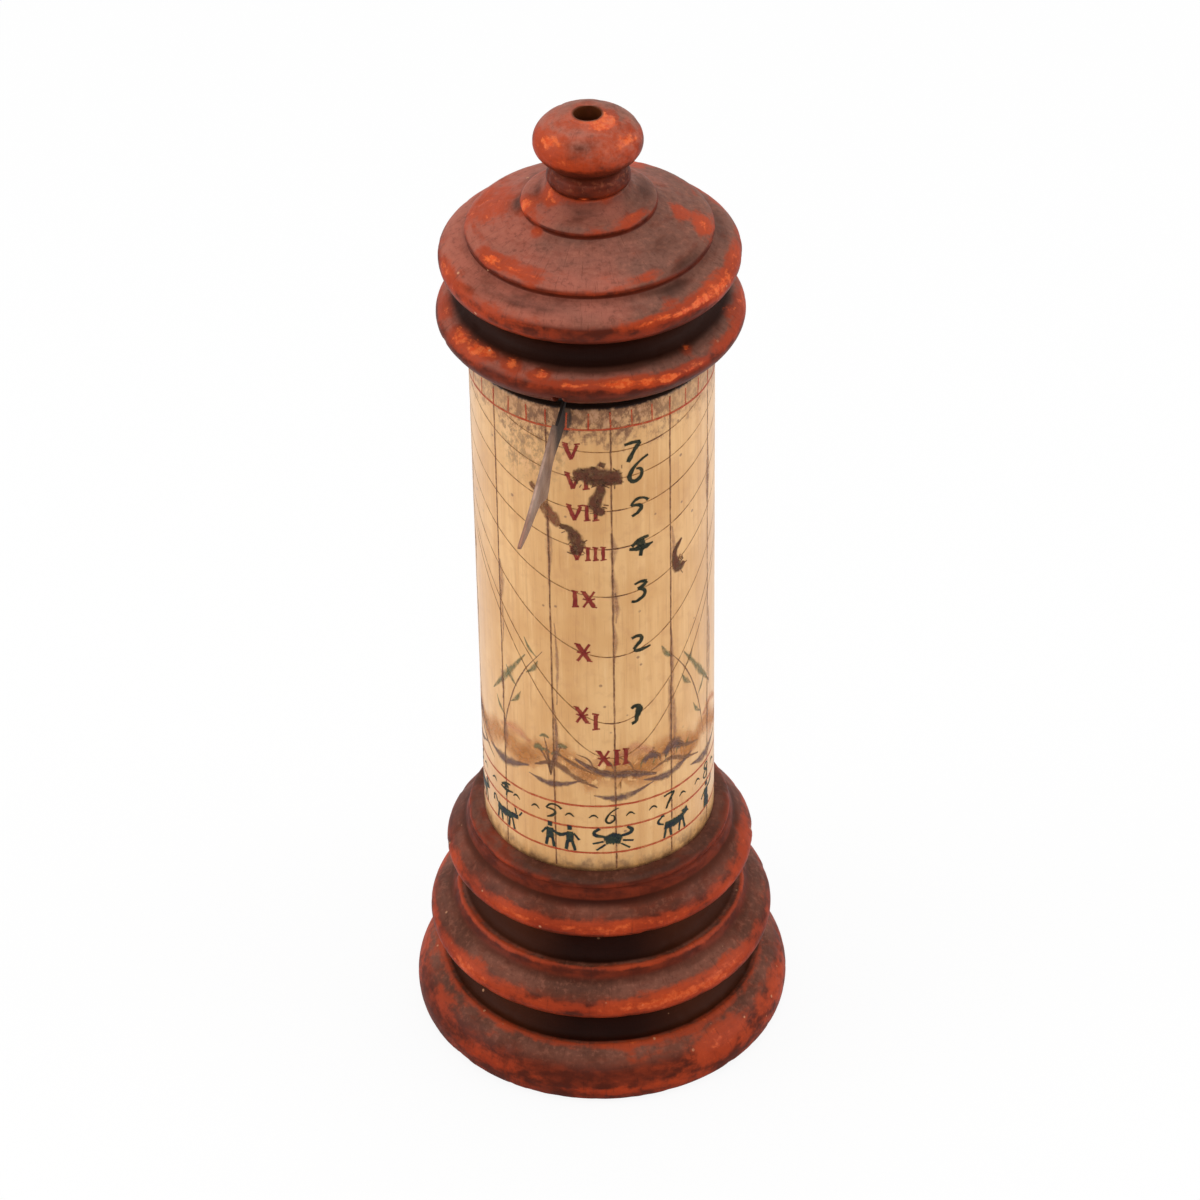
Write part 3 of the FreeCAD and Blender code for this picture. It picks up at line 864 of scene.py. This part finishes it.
def hour_marks():
    """Where the pen went over an hour's curve again: dashes towards the numbers and a few bits on the right."""
    marks = [(75, 1.6, 4.4, 0.30), (60, 1.2, 4.6, 0.38), (45, 0.9, 4.3, 0.28), (30, 1.2, 4.0, 0.24),
             (15, 0.9, 3.1, 0.34), (105, 6.9, 9.5, 0.36), (75, 10.9, 12.9, 0.28), (60, 11.2, 12.6, 0.28)]
    strokes = []
    for hour_angle, start, end, width in marks:
        curve = [(x, shadow_height(x / arc_per_degree_mm, hour_angle)) for x in (start, (start + end) / 2, end)]
        strokes.append(stroke(curve, width, 0.4))
    return strokes


def hour_numbers():
    rows = [("7", 3.99, 102.2, 3.0), ("6", 4.64, 99.1, 3.65), ("5", 4.78, 93.5, 2.7), ("4", 4.47, 86.8, 3.1),
            ("3", 4.69, 79.6, 3.1), ("2", 4.69, 71.4, 2.44), ("J", 4.52, 59.2, 2.96)]
    return [s for number, x, z, height in rows for s in written(number, x, z, height)]


def hour_romans():
    rows = [("V", -3.8, 103.0, 2.7, 0), ("VI", -3.6, 98.4, 2.7, 0), ("VII", -3.45, 93.4, 2.6, 0),
            ("VIII", -3.15, 87.0, 2.3, 0), ("IX", -3.0, 79.3, 2.8, 0), ("X", -2.7, 70.3, 3.1, 0),
            ("XI", -3.0, 59.8, 2.9, 1.1), ("XII", -0.15, 52.4, 2.8, 0)]
    return [s for number, x, z, height, drop in rows for s in roman(number, x, z, height, drop)]


def month_numbers():
    """The number of each month between two short flourishes."""
    strokes = []
    for month in range(1, 13):
        number = str(month)
        middle = month_arc(month) - 0.5
        strokes += written(number, middle - 0.85 * len(number), 42.4, 2.5, 0.85)
        for side in (-1, 1):
            reach = middle + side * (1.0 + 0.9 * len(number))
            flourish = [(reach, 43.3), (reach + side * 0.6, 43.8), (reach + side * 1.3, 43.3)]
            strokes.append(stroke(flourish, 0.42, 0.7))
    return strokes


def beast(extras):
    """A small four-legged beast in side view, with its own head, horns and tail."""
    legs = [[(x, 1.4), (x + lean, 0)] for x, lean in ((-1.2, -0.25), (-0.75, 0.2), (0.7, -0.15), (1.15, 0.3))]
    return [(1.2, [(-1.5, 1.7), (-0.2, 1.55), (1.3, 1.8)])] + [(0.42, leg) for leg in legs] + extras


figures = {
    1: [(1.1, [(-0.9, 2.2), (-0.95, 0.9)]), (0.75, [(-0.9, 2.5), (-0.9, 3.2)]),
        (0.4, [(-0.4, 2.2), (0.9, 2.5), (1.7, 2.0)]), (0.3, [(0.1, 1.5), (0.7, 1.8), (1.2, 1.4), (1.9, 1.7)]),
        (0.3, [(0.1, 0.7), (0.7, 1.0), (1.2, 0.6), (1.9, 0.9)]), (0.4, [(-1.2, 1.0), (-1.4, 0)]),
        (0.4, [(-0.7, 1.0), (-0.5, 0)])],
    2: [(0.85, [(-1.7, 2.3), (0, 2.6), (1.5, 2.2)]), (0.85, [(-1.5, 0.8), (0, 0.5), (1.7, 0.8)]),
        (0.25, [(-1.7, 2.2), (-2.1, 1.5), (-1.5, 0.8)]), (0.5, [(1.4, 2.2), (2.1, 2.9)]),
        (0.5, [(1.6, 0.8), (2.2, 0.2)])],
    3: beast([(0.8, [(1.2, 1.9), (2.0, 2.4)]), (0.35, [(1.9, 2.7), (1.2, 2.9), (1.3, 2.2)]),
              (0.3, [(-1.5, 1.9), (-1.9, 1.4)])]),
    4: beast([(0.95, [(1.1, 1.9), (2.1, 2.0)]), (0.3, [(1.8, 2.3), (1.6, 3.1)]),
              (0.3, [(2.2, 2.3), (2.6, 3.0)]), (0.28, [(-1.5, 1.9), (-2.1, 2.6), (-2.3, 1.7)])]),
    5: [(1.2, [(-1.1, 2.6), (-1.1, 1.0)]), (1.2, [(1.1, 2.6), (1.1, 1.0)]), (0.72, [(-1.1, 2.7), (-1.1, 3.4)]),
        (0.72, [(1.1, 2.7), (1.1, 3.4)]), (0.5, [(-1.35, 1.3), (-1.6, 0)]), (0.5, [(-0.85, 1.3), (-0.65, 0)]),
        (0.5, [(0.85, 1.3), (0.65, 0)]), (0.5, [(1.35, 1.3), (1.65, 0)]),
        (0.45, [(-0.9, 2.3), (0, 1.9), (0.9, 2.3)]), (0.35, [(-1.5, 2.4), (-2.1, 1.5)]),
        (0.35, [(1.5, 2.4), (2.1, 1.5)])],
    6: [(1.7, [(-1.0, 1.5), (0, 1.7), (1.0, 1.5)]), (0.5, [(-0.9, 2.0), (-2.0, 2.5), (-1.4, 3.2)]),
        (0.5, [(0.9, 2.0), (2.0, 2.5), (1.5, 3.2)]), (0.35, [(-1.0, 1.4), (-2.2, 1.1)]),
        (0.35, [(-0.8, 1.0), (-1.8, 0.2)]), (0.35, [(1.0, 1.4), (2.2, 1.1)]), (0.35, [(0.8, 1.0), (1.8, 0.2)])],
    7: beast([(1.3, [(1.0, 2.1), (1.9, 2.4)]), (0.3, [(-1.5, 1.9), (-2.2, 2.5), (-1.7, 3.1)]),
              (0.5, [(-1.9, 3.1), (-1.4, 3.15)])]),
    8: [(1.1, [(0, 2.5), (0, 1.4), (0.1, 0.2)]), (0.72, [(0, 2.7), (0, 3.4)]),
        (0.35, [(0.3, 2.3), (1.2, 2.5), (1.5, 3.3)]), (0.35, [(-0.3, 2.3), (-1.2, 1.6)]),
        (1.4, [(-0.6, 0.4), (0.7, 0.3)])],
    9: [(0.35, [(-1.8, 2.6), (0, 2.8), (1.8, 2.6)]), (0.42, [(0, 3.2), (0, 0.3)]),
        (0.28, [(-1.8, 2.6), (-1.8, 1.2)]), (0.28, [(1.8, 2.6), (1.8, 1.2)]),
        (0.6, [(-2.5, 1.2), (-1.8, 0.9), (-1.1, 1.2)]),
        (0.6, [(1.1, 1.2), (1.8, 0.9), (2.5, 1.2)]), (0.5, [(-0.8, 0.2), (0.8, 0.2)])],
    10: [(1.1, [(-1.2, 1.2), (0.5, 1.3)]), (0.42, [(0.5, 1.3), (1.5, 1.5), (2.0, 2.3), (1.2, 3.1)]),
         (0.4, [(-1.2, 1.6), (-2.0, 2.4)]), (0.4, [(-1.2, 0.9), (-2.1, 0.5)]),
         (0.3, [(-0.6, 1.0), (-0.9, 0.1)]), (0.3, [(0, 1.0), (0.1, 0.1)])],
    11: beast([(0.9, [(1.1, 1.8), (1.1, 2.8)]), (0.65, [(1.1, 2.8), (1.1, 3.4)]),
               (0.3, [(1.2, 2.6), (2.1, 2.5)]), (0.28, [(2.0, 3.2), (2.5, 2.5), (2.0, 1.8)]),
               (0.3, [(-1.5, 1.9), (-2.0, 1.0)])]),
    12: [(1.1, [(-0.7, 1.5), (0.6, 1.7), (1.3, 1.9)]), (0.7, [(1.1, 2.0), (2.0, 2.4)]),
         (0.3, [(1.7, 2.6), (1.1, 3.2)]), (0.42, [(0.8, 1.4), (1.0, 0)]), (0.42, [(0.3, 1.4), (0.2, 0)]),
         (0.6, [(-0.7, 1.5), (-1.6, 0.8), (-2.1, 1.6), (-1.6, 2.3)])],
}


def zodiac():
    """The old signs of the year, one under each month, as small pen figures."""
    strokes = []
    for month, parts in figures.items():
        middle = month_arc(month) + (0.6 if month % 2 else -0.4)
        size, base = 1.3, 37.3
        for width, points in parts:
            line = [(middle + x * size, base + z * size) for x, z in points]
            strokes.append(stroke(line, width * 1.5, 0.3, 4))
    return strokes


def rings(heights, width_mm):
    half_turn = 180 * arc_per_degree_mm
    return [[(half_turn * i / 30, height, width_mm) for i in range(-30, 31)] for height in heights]


def blots(seed):
    """Old ink blots: broad uneven strokes with small dabs along their edges."""
    runs = [
        [(-2.6, 100.3, 1.2), (-1.4, 100.8, 2.9), (0.2, 100.9, 3.2), (1.8, 100.4, 2.9), (3.6, 100.7, 1.8)],
        [(-1.2, 99.9, 1.6), (0.6, 99.6, 1.4), (2.6, 99.6, 1.4), (3.7, 99.3, 0.8)],
        [(0.9, 101.8, 1.4), (1.2, 102.7, 1.0)],
        [(0.9, 99.4, 1.6), (0.7, 97.6, 1.8), (0.2, 96.2, 2.4), (0.8, 94.8, 1.8), (1.2, 94.2, 0.6)],
        [(-4.6, 92.5, 0.6), (-3.4, 92.0, 1.6), (-2.6, 90.8, 2.4), (-2.3, 89.4, 2.4), (-2.6, 87.8, 1.2)],
        [(12.7, 87.1, 0.4), (11.9, 86.2, 1.0), (11.3, 84.9, 1.1), (11.6, 83.4, 1.7), (12.2, 82.6, 1.9),
         (13.2, 83.1, 0.7)],
    ]
    hand = random.Random(seed)
    dabs = []
    for x, z, width in [point for run in runs for point in run if point[2] > 1.1]:
        for _ in range(3):
            turn = hand.uniform(0, math.tau)
            near_x, near_z = x + math.cos(turn) * width * 0.42, z + math.sin(turn) * width * 0.42
            far = near_x + math.cos(turn) * 0.7, near_z + math.sin(turn) * 0.6
            dabs.append(stroke([(near_x, near_z), far], hand.uniform(0.7, 1.3), 0.8, 2))
    return runs + dabs


def rust_stains():
    """Reddish stains where the blade rests against the scale."""
    return [
        [(-7.8, 96.8, 1.0), (-6.6, 95.0, 2.4), (-5.2, 93.0, 2.2), (-4.6, 92.0, 0.8)],
        [(-8.6, 98.4, 0.8), (-7.6, 97.4, 1.6), (-6.4, 97.2, 0.6)],
    ]


def smears(seed):
    """Places where the ink of a month's line was rubbed sideways or soaked in."""
    hand = random.Random(seed)
    strokes = []
    for month in range(1, 13):
        for _ in range(4):
            low, length = hand.uniform(50, 96), hand.uniform(5, 14)
            x = month_arc(month) + hand.uniform(-0.3, 0.6)
            strokes.append(stroke([(x, low), (x + 0.2, low + length / 2), (x - 0.1, min(low + length, 106))],
                                  hand.uniform(0.7, 1.7), 0.7, 2))
    return strokes


def landscape(seed):
    """A plain painted band round the pillar: hills, reeds, bushes, rocks and fallen branches in thin washes."""
    hand = random.Random(seed)
    ochre, umber, green, plum, rose = [], [], [], [], []
    for k in range(12):
        middle = (-172 + 30 * k + hand.uniform(-5, 5)) * arc_per_degree_mm
        base = hand.uniform(48.6, 51.0)
        rise = hand.uniform(1.6, 4.6)
        hill = [(middle - 6, base), (middle - 2.5, base + rise * 0.7), (middle + 0.5, base + rise),
                (middle + 3.5, base + rise * 0.5), (middle + 6.5, base + 0.2)]
        ochre.append(stroke([(x, z - 0.2) for x, z in hill], hand.uniform(5.2, 9.6), 0.6, 2))
        if k % 2:
            umber.append(stroke([(x, z - 2.2) for x, z in hill[1:]], hand.uniform(0.9, 1.7), 0.8, 2))
            umber.append(stroke(hill[2:], hand.uniform(0.4, 0.8), 0.8, 2))
        else:
            rose.append(stroke([(x + 2.0, z + 2.4) for x, z in hill[1:4]], hand.uniform(2.4, 4.4), 0.7, 2))
        plum.append(stroke([(middle - 3.5, base - 1.5), (middle, base - 2.1), (middle + 5.0, base - 0.6)],
                           hand.uniform(1.4, 3.2), 0.9, 2))
        (spray, bush, branch, rock)[k % 4](middle, base + rise * 0.4, hand, green, umber, plum)
    return ochre, umber, green, plum, rose


def spray(x, z, hand, green, umber, plum):
    """A long leaning reed with narrow leaves."""
    lean = hand.choice((-1, 1))
    stem = [(x, z), (x + lean * 1.5, z + 7), (x + lean * 4.2, z + 14), (x + lean * 7.5, z + 19)]
    umber.append(stroke(stem, 0.3, 0.6, 2))
    long_leaf = [(x - lean * 2.0, z + 8), (x + lean * 1.0, z + 12), (x + lean * 4.8, z + 17.5)]
    green.append(stroke(long_leaf, 1.5, 0.8, 2))
    for i in range(5):
        share = 0.25 + i * 0.17
        foot_x, foot_z = x + lean * 7.5 * share ** 1.6, z + 19 * share
        side = 1 if i % 2 else -1
        leaf = [(foot_x, foot_z), (foot_x + side * 1.2, foot_z + 1.2), (foot_x + side * 2.0, foot_z + 2.8)]
        green.append(stroke(leaf, hand.uniform(0.8, 1.3), 0.9, 1.5))


def bush(x, z, hand, green, umber, plum):
    """Dabs of leaves on a few short stems."""
    for _ in range(5):
        top = z + hand.uniform(0.6, 4.6)
        left = x + hand.uniform(-2.2, 2.2)
        umber.append(stroke([(x, z - 2.2), ((x + left) / 2, (z + top) / 2), (left, top)], 0.42, 0.6, 2))
        green.append(stroke([(left - 0.7, top - 0.3), (left, top + 0.2), (left + 0.8, top - 0.2)],
                            hand.uniform(0.8, 1.6), 0.6, 2))


def rock(x, z, hand, green, umber, plum):
    """Two low boulders, dark on the right and with grass at the foot."""
    for left, size in ((-2.6, 1.0), (0.9, 1.35)):
        top = z + size * hand.uniform(1.2, 1.6)
        boulder = [(x + left - size, z + 0.3), (x + left + 0.2, top), (x + left + size * 1.5, z + 0.5)]
        plum.append(stroke(boulder, size * 1.9, 0.5, 2))
        umber.append(stroke([(x + left + 0.4, top + 0.5), (x + left + size * 1.5, z + 0.9),
                             (x + left + size * 1.7, z - 0.3)], 0.6, 0.8, 2))
    for k in range(5):
        start = x - 4 + 1.9 * k
        green.append(stroke([(start, z - 0.6), (start + 0.3, z + 0.6), (start + 0.8, z + 1.5)], 0.5, 0.9, 2))


def branch(x, z, hand, green, umber, plum):
    """A fallen branch with side twigs."""
    lean = hand.choice((-1, 1))
    bough = [(x + lean * side, z + rise) for side, rise in ((-5.5, -0.8), (-2, 0.3), (2, 1.0), (6, 3.4))]
    plum.append(stroke(bough, 2.0, 0.75, 1.6))
    umber.append(stroke([(a, b + 0.2) for a, b in bough], 0.6, 0.8, 2))
    for share in (0.3, 0.55, 0.8):
        start_x = x + lean * (-5.5 + 11 * share)
        umber.append(stroke([(start_x, z + share * 2), (start_x + lean * 0.8, z + share * 2 + 1.8),
                             (start_x + lean * 2.4, z + share * 2 + hand.uniform(2.5, 4.5))], 0.45, 0.8, 2))


# Putting the dial together

set_camera()
set_stage()

stained = new_material("stained_wood", stained_wood, Specular_IOR_Level=0.06, Coat_Roughness=0.28)
stained_knob = new_material("stained_knob_wood", stained_knob_wood, Specular_IOR_Level=0.06,
                            Coat_Roughness=0.25)
pale = new_material("scale_wood", scale_wood, Specular_IOR_Level=0.3, Coat_Roughness=0.3)
bare = new_material("bare_wood", spigot_wood)
leather = new_material("dark_leather", dark_leather)
steel = new_material("aged_steel", aged_steel)

lathe = lathe_tree()
foot = turned_piece("turned_foot", foot_outline(), lathe, stained, 288, 0.16, 3,
                    plain=[(32.8, 1.2, 0.8)], shallow=[(32.3, 1.3, 0.4)])
pillar = turned_piece("scale_pillar", pillar_outline(), lathe, pale, 224, 0.05, 5)
cap = turned_piece("turned_cap", cap_outline(), lathe, stained, 288, 0.14, 8,
                   plain=[(128.2, 0.9, 0.3), (132.3, 0.7, 0.5)],
                   shallow=[(127.6, 1.4, 0.3), (131.7, 1.0, 0.25), (134.6, 1.0, 0.4)])
knob = turned_piece("turned_knob", knob_outline(), lathe, stained_knob, 160, 0.12, 11,
                    shallow=[(137.8, 0.9, 0.3)])
mark(foot, "rubbed", [
    (0, 28.0, 14, 0.8, 0.42), (-28, 28.2, 6, 0.8, 0.2), (78, 29.5, 7, 1.6, 0.42), (-70, 28.6, 9, 1.0, 0.12),
    (150, 28.3, 14, 1.0, 0.4), (-140, 28.3, 8, 1.0, 0.3), (-105, 31.8, 9, 1.0, 0.35),
    (100, 31.8, 9, 1.0, 0.2), (22, 15.6, 7, 0.9, 0.45), (46, 15.6, 6, 0.9, 0.4), (-57, 15.6, 6, 1.3, 0.42),
    (-5, 15.4, 20, 0.7, 0.22), (60, 16.6, 10, 0.8, 0.2), (130, 16.2, 10, 1.0, 0.4),
    (-120, 16.0, 14, 1.0, 0.3), (0, 19.5, 60, 0.4, 0.25), (0, 7.4, 60, 0.4, 0.3), (40, 5.0, 4.5, 1.8, 0.62),
    (-38, 3.6, 8, 1.8, 0.3), (0, 2.1, 6, 0.7, 0.4), (-65, 5.5, 4, 1.4, 0.4), (72, 4.6, 6, 1.6, 0.3),
    (125, 4.5, 8, 1.6, 0.5), (-110, 5.0, 8, 1.6, 0.4), (180, 4.0, 9, 1.5, 0.4), (0, 31.0, 60, 1.0, -0.3),
    (0, 18.2, 80, 1.0, -0.2), (4, 4.3, 9, 1.6, -0.2),
])
mark(foot, "grime", [
    (0, 33.4, 70, 0.5, 0.5), (-10, 30.4, 8, 0.9, 0.2), (30, 17.6, 9, 0.8, 0.15), (-30, 18.4, 9, 0.7, 0.1),
    (5, 5.6, 12, 0.8, 0.15), (-60, 18.0, 8, 0.9, 0.15), (60, 30.0, 8, 0.9, 0.25), (140, 18, 12, 1.0, 0.3),
    (-150, 30, 12, 1.0, 0.3),
])
mark(cap, "rubbed", [
    (-62, 134.4, 2.2, 0.8, 0.7), (-77, 132.6, 1.4, 0.9, 0.7), (-46, 131.4, 1.0, 0.5, 0.6),
    (-58, 128.9, 2.6, 0.6, 0.75), (-105, 129.9, 6.0, 1.6, 0.5), (-48, 129.3, 3.0, 0.6, 0.4),
    (-29, 129.3, 3.0, 0.6, 0.4), (88, 130.4, 1.8, 0.5, 0.75), (82, 129.3, 2.0, 0.5, 0.6),
    (42, 132.9, 3.0, 0.4, 0.4), (11, 132.6, 3.0, 0.3, 0.3), (28, 129.0, 3.0, 0.4, 0.4),
    (160, 129.5, 4.0, 0.8, 0.5), (-150, 133.0, 3.0, 0.8, 0.5), (26, 125.3, 4, 0.5, 0.42),
    (42, 125.2, 5, 0.6, 0.5), (66, 125.5, 7, 0.9, 0.45), (33, 126.6, 2.0, 0.6, 0.4),
    (-72, 125.6, 5, 1.0, 0.3), (-13, 124.8, 10, 0.8, -0.15), (140, 125.3, 12, 1.0, 0.35),
    (-140, 125.3, 9, 1.0, 0.3), (-5, 126.7, 12, 0.8, -0.25), (-82, 118.0, 3, 0.9, 0.5),
    (-63, 117.7, 1.6, 0.7, 0.8), (-51, 117.6, 1.5, 0.7, 0.8), (-44, 118.0, 1.3, 0.6, 0.7),
    (-33, 118.0, 1.6, 0.7, 0.75), (-20, 117.7, 1.2, 0.5, 0.75), (-9, 117.1, 3.2, 0.5, 0.55),
    (8, 117.1, 3.4, 0.5, 0.55), (20, 116.8, 4, 0.4, 0.2), (31, 116.6, 4.5, 0.7, 0.6),
    (42, 118.4, 1.0, 0.5, 0.9), (56, 116.9, 6, 0.8, 0.2), (75, 118.2, 1.4, 0.5, 0.7),
    (85, 117.2, 5, 1.1, 0.4), (150, 117.0, 12, 1.0, 0.4), (-130, 117.0, 12, 1.0, 0.35),
    (0, 115.2, 60, 0.9, -0.4),
])
mark(cap, "grime", [
    (0, 118.9, 90, 0.8, 0.75), (180, 118.9, 60, 0.8, 0.6), (2, 118.2, 8, 0.5, 0.3),
    (-94, 131.4, 2.6, 0.5, 0.6), (-88, 133.6, 2.2, 0.6, 0.4), (-7, 134.0, 3.2, 0.7, 0.45),
    (95, 133.3, 3.4, 0.7, 0.45), (51, 130.2, 4.0, 0.7, 0.35), (53, 128.7, 4.0, 0.5, 0.6),
    (-26, 126.7, 6.0, 0.6, 0.5), (-53, 126.2, 4.0, 0.8, 0.35), (38, 127.0, 3.2, 0.5, 0.65),
    (94, 126.9, 6.0, 0.7, 0.45), (5, 124.3, 14, 0.6, 0.15), (150, 127, 8.0, 0.8, 0.4),
    (-150, 131, 6.0, 0.8, 0.4),
])
mark(knob, "rubbed", [
    (43, 144.7, 2.0, 0.35, 0.65), (47, 143.2, 2.6, 0.9, 0.45), (62, 144.6, 2, 0.4, 0.4),
    (-52, 143.2, 1.6, 0.7, 0.4), (-70, 142.0, 1.6, 1.2, 0.2), (-25, 141.2, 2.0, 0.6, 0.25),
    (0, 139.9, 7, 0.7, -0.25), (70, 142.6, 3, 1.0, 0.3), (160, 143.0, 3, 1.2, 0.3), (0, 138.0, 40, 1.3, -0.6),
    (0, 136.0, 40, 1.2, -0.3), (-7, 135.4, 0.5, 0.3, 0.9),
])
mark(knob, "grime", [
    (-11, 143.3, 1.7, 0.6, 0.55), (-18, 142.2, 1.1, 0.6, 0.35), (0, 138.4, 40, 0.5, 0.3),
    (15, 143.6, 2.0, 0.5, 0.2),
])
cut_notch(cap)
turned = [(foot, "foot", "pillar_body", "stained_wood"), (pillar, "pillar", "pillar_body", "scale_wood"),
          (cap, "cap", "head", "stained_wood"), (knob, "finial_knob", "head", "stained_wood")]
dressed = [(dressed_copy(*copied), copied[1], body, slot) for *copied, body, slot in (
    ("leather_washer", "friction_washer", leather, 0.12, "washer_body", "dark_leather"),
    ("wooden_spigot", "spigot", bare, 0.15, "head", "bare_wood"),
    ("steel_pin", "gnomon_pin", steel, 0.08, "head", "aged_steel"),
    ("steel_gnomon", "gnomon", steel, 0.09, "blade", "aged_steel"),
)]
for piece, node, body, slot in turned + dressed:
    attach(piece, body)
    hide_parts(node)

inks = {
    "black_ink": (paint(28, 34, 22), paint(52, 52, 34), 0.97, 0.2, 0.3),
    "red_ink": (paint(124, 32, 30), paint(150, 54, 42), 0.94, 0.35, 0.3),
    "ring_ink": (paint(176, 60, 36), paint(196, 96, 58), 0.85, 0.6, 0.5),
    "line_ink": (paint(108, 68, 48), paint(140, 94, 66), 0.78, 0.8, 0.6),
    "curve_ink": (paint(132, 84, 40), paint(160, 110, 56), 0.8, 0.9, 0.7),
    "figure_ink": (paint(26, 34, 42), paint(44, 58, 44), 0.97, 0.2, 0.3),
    "blot_ink": (paint(102, 56, 38), paint(84, 54, 36), 0.88, 0.4, 0.5, 1.0, 0.7),
    "rust_wash": (paint(136, 76, 52), paint(120, 78, 50), 0.85, 0.5, 0.6, 1.0, 0.9, 3.0),
}
washes = {
    "ochre_wash": (paint(200, 132, 60), paint(188, 114, 46), 0.66, 0.6, 1.0, 0.9, 2.2, 2.0),
    "rose_wash": (paint(214, 142, 104), paint(206, 132, 84), 0.5, 0.6, 1.0, 0.9, 1.6, 2.0),
    "umber_wash": (paint(110, 66, 38), paint(138, 92, 54), 0.88, 0.6, 0.7, 1.1, 0.6, 3.0),
    "green_wash": (paint(104, 104, 66), paint(132, 118, 74), 0.72, 0.6, 0.8, 1.0, 0.7, 3.0),
    "plum_wash": (paint(92, 60, 54), paint(122, 86, 70), 0.84, 0.6, 0.8, 1.0, 0.8, 3.0),
    "smear_wash": (paint(140, 92, 74), paint(160, 110, 80), 0.5, 0.7, 1.0, 1.2, 0.5),
}
colours = {name: new_material(name, ink_finish(*values), Specular_IOR_Level=0.15)
           for name, values in inks.items()}
colours.update({name: new_material(name, ink_finish(*values)) for name, values in washes.items()})

pen = ink_tree()
ochre, umber, green, plum, rose = landscape(4)
month_mm = month_step * arc_per_degree_mm
tick_mm = month_mm / 3
first_line = month_arc(12)
year_line = [(first_line, z, 0.34) for z in np.linspace(34.2, 110.6, 16)]
third_ticks = [[(first_line + tick_mm * k, zero_ring_mm - 0.1, 0.3), (first_line + tick_mm * k, 110.4, 0.3)]
               for k in range(3)]
scale_rings = rings([zero_ring_mm, names_ring_mm, figures_ring_mm, lowest_ring_mm], 0.44)
for name, strokes, ink, layer_mm, *hand in (
    ("paint_ochre", ochre, "ochre_wash", 0.006, 0.4),
    ("paint_rose", rose, "rose_wash", 0.008, 0.4),
    ("paint_green", green, "green_wash", 0.009),
    ("paint_plum", plum, "plum_wash", 0.012),
    ("paint_umber", umber, "umber_wash", 0.015),
    ("line_smears", smears(9), "smear_wash", 0.017, 0.3),
    ("hour_curves", hour_curves(), "curve_ink", 0.018, 0.08, 0.4),
    ("month_lines", [year_line], "line_ink", 0.021, 0.16, 0.4, 12, month_mm),
    ("year_rings", scale_rings, "ring_ink", 0.024, 0.16, 0.4),
    ("rim_ticks", third_ticks, "ring_ink", 0.027, 0.4, 0.3, 12, month_mm),
    ("hour_marks", hour_marks(), "line_ink", 0.027),
    ("month_numbers", month_numbers(), "black_ink", 0.030, 0.08),
    ("zodiac_figures", zodiac(), "figure_ink", 0.030, 0.10),
    ("hour_romans", hour_romans(), "red_ink", 0.030, 0.10),
    ("hour_numbers", hour_numbers(), "black_ink", 0.033, 0.08),
    ("rust_stains", rust_stains(), "rust_wash", 0.034, 0.5),
    ("ink_blots", blots(2), "blot_ink", 0.036, 0.5),
):
    piece = drawn(name, strokes, pen, colours[ink], layer_mm, *hand)
    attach(piece, "pillar_body")

bpy.context.scene.view_settings.view_transform = "Standard"
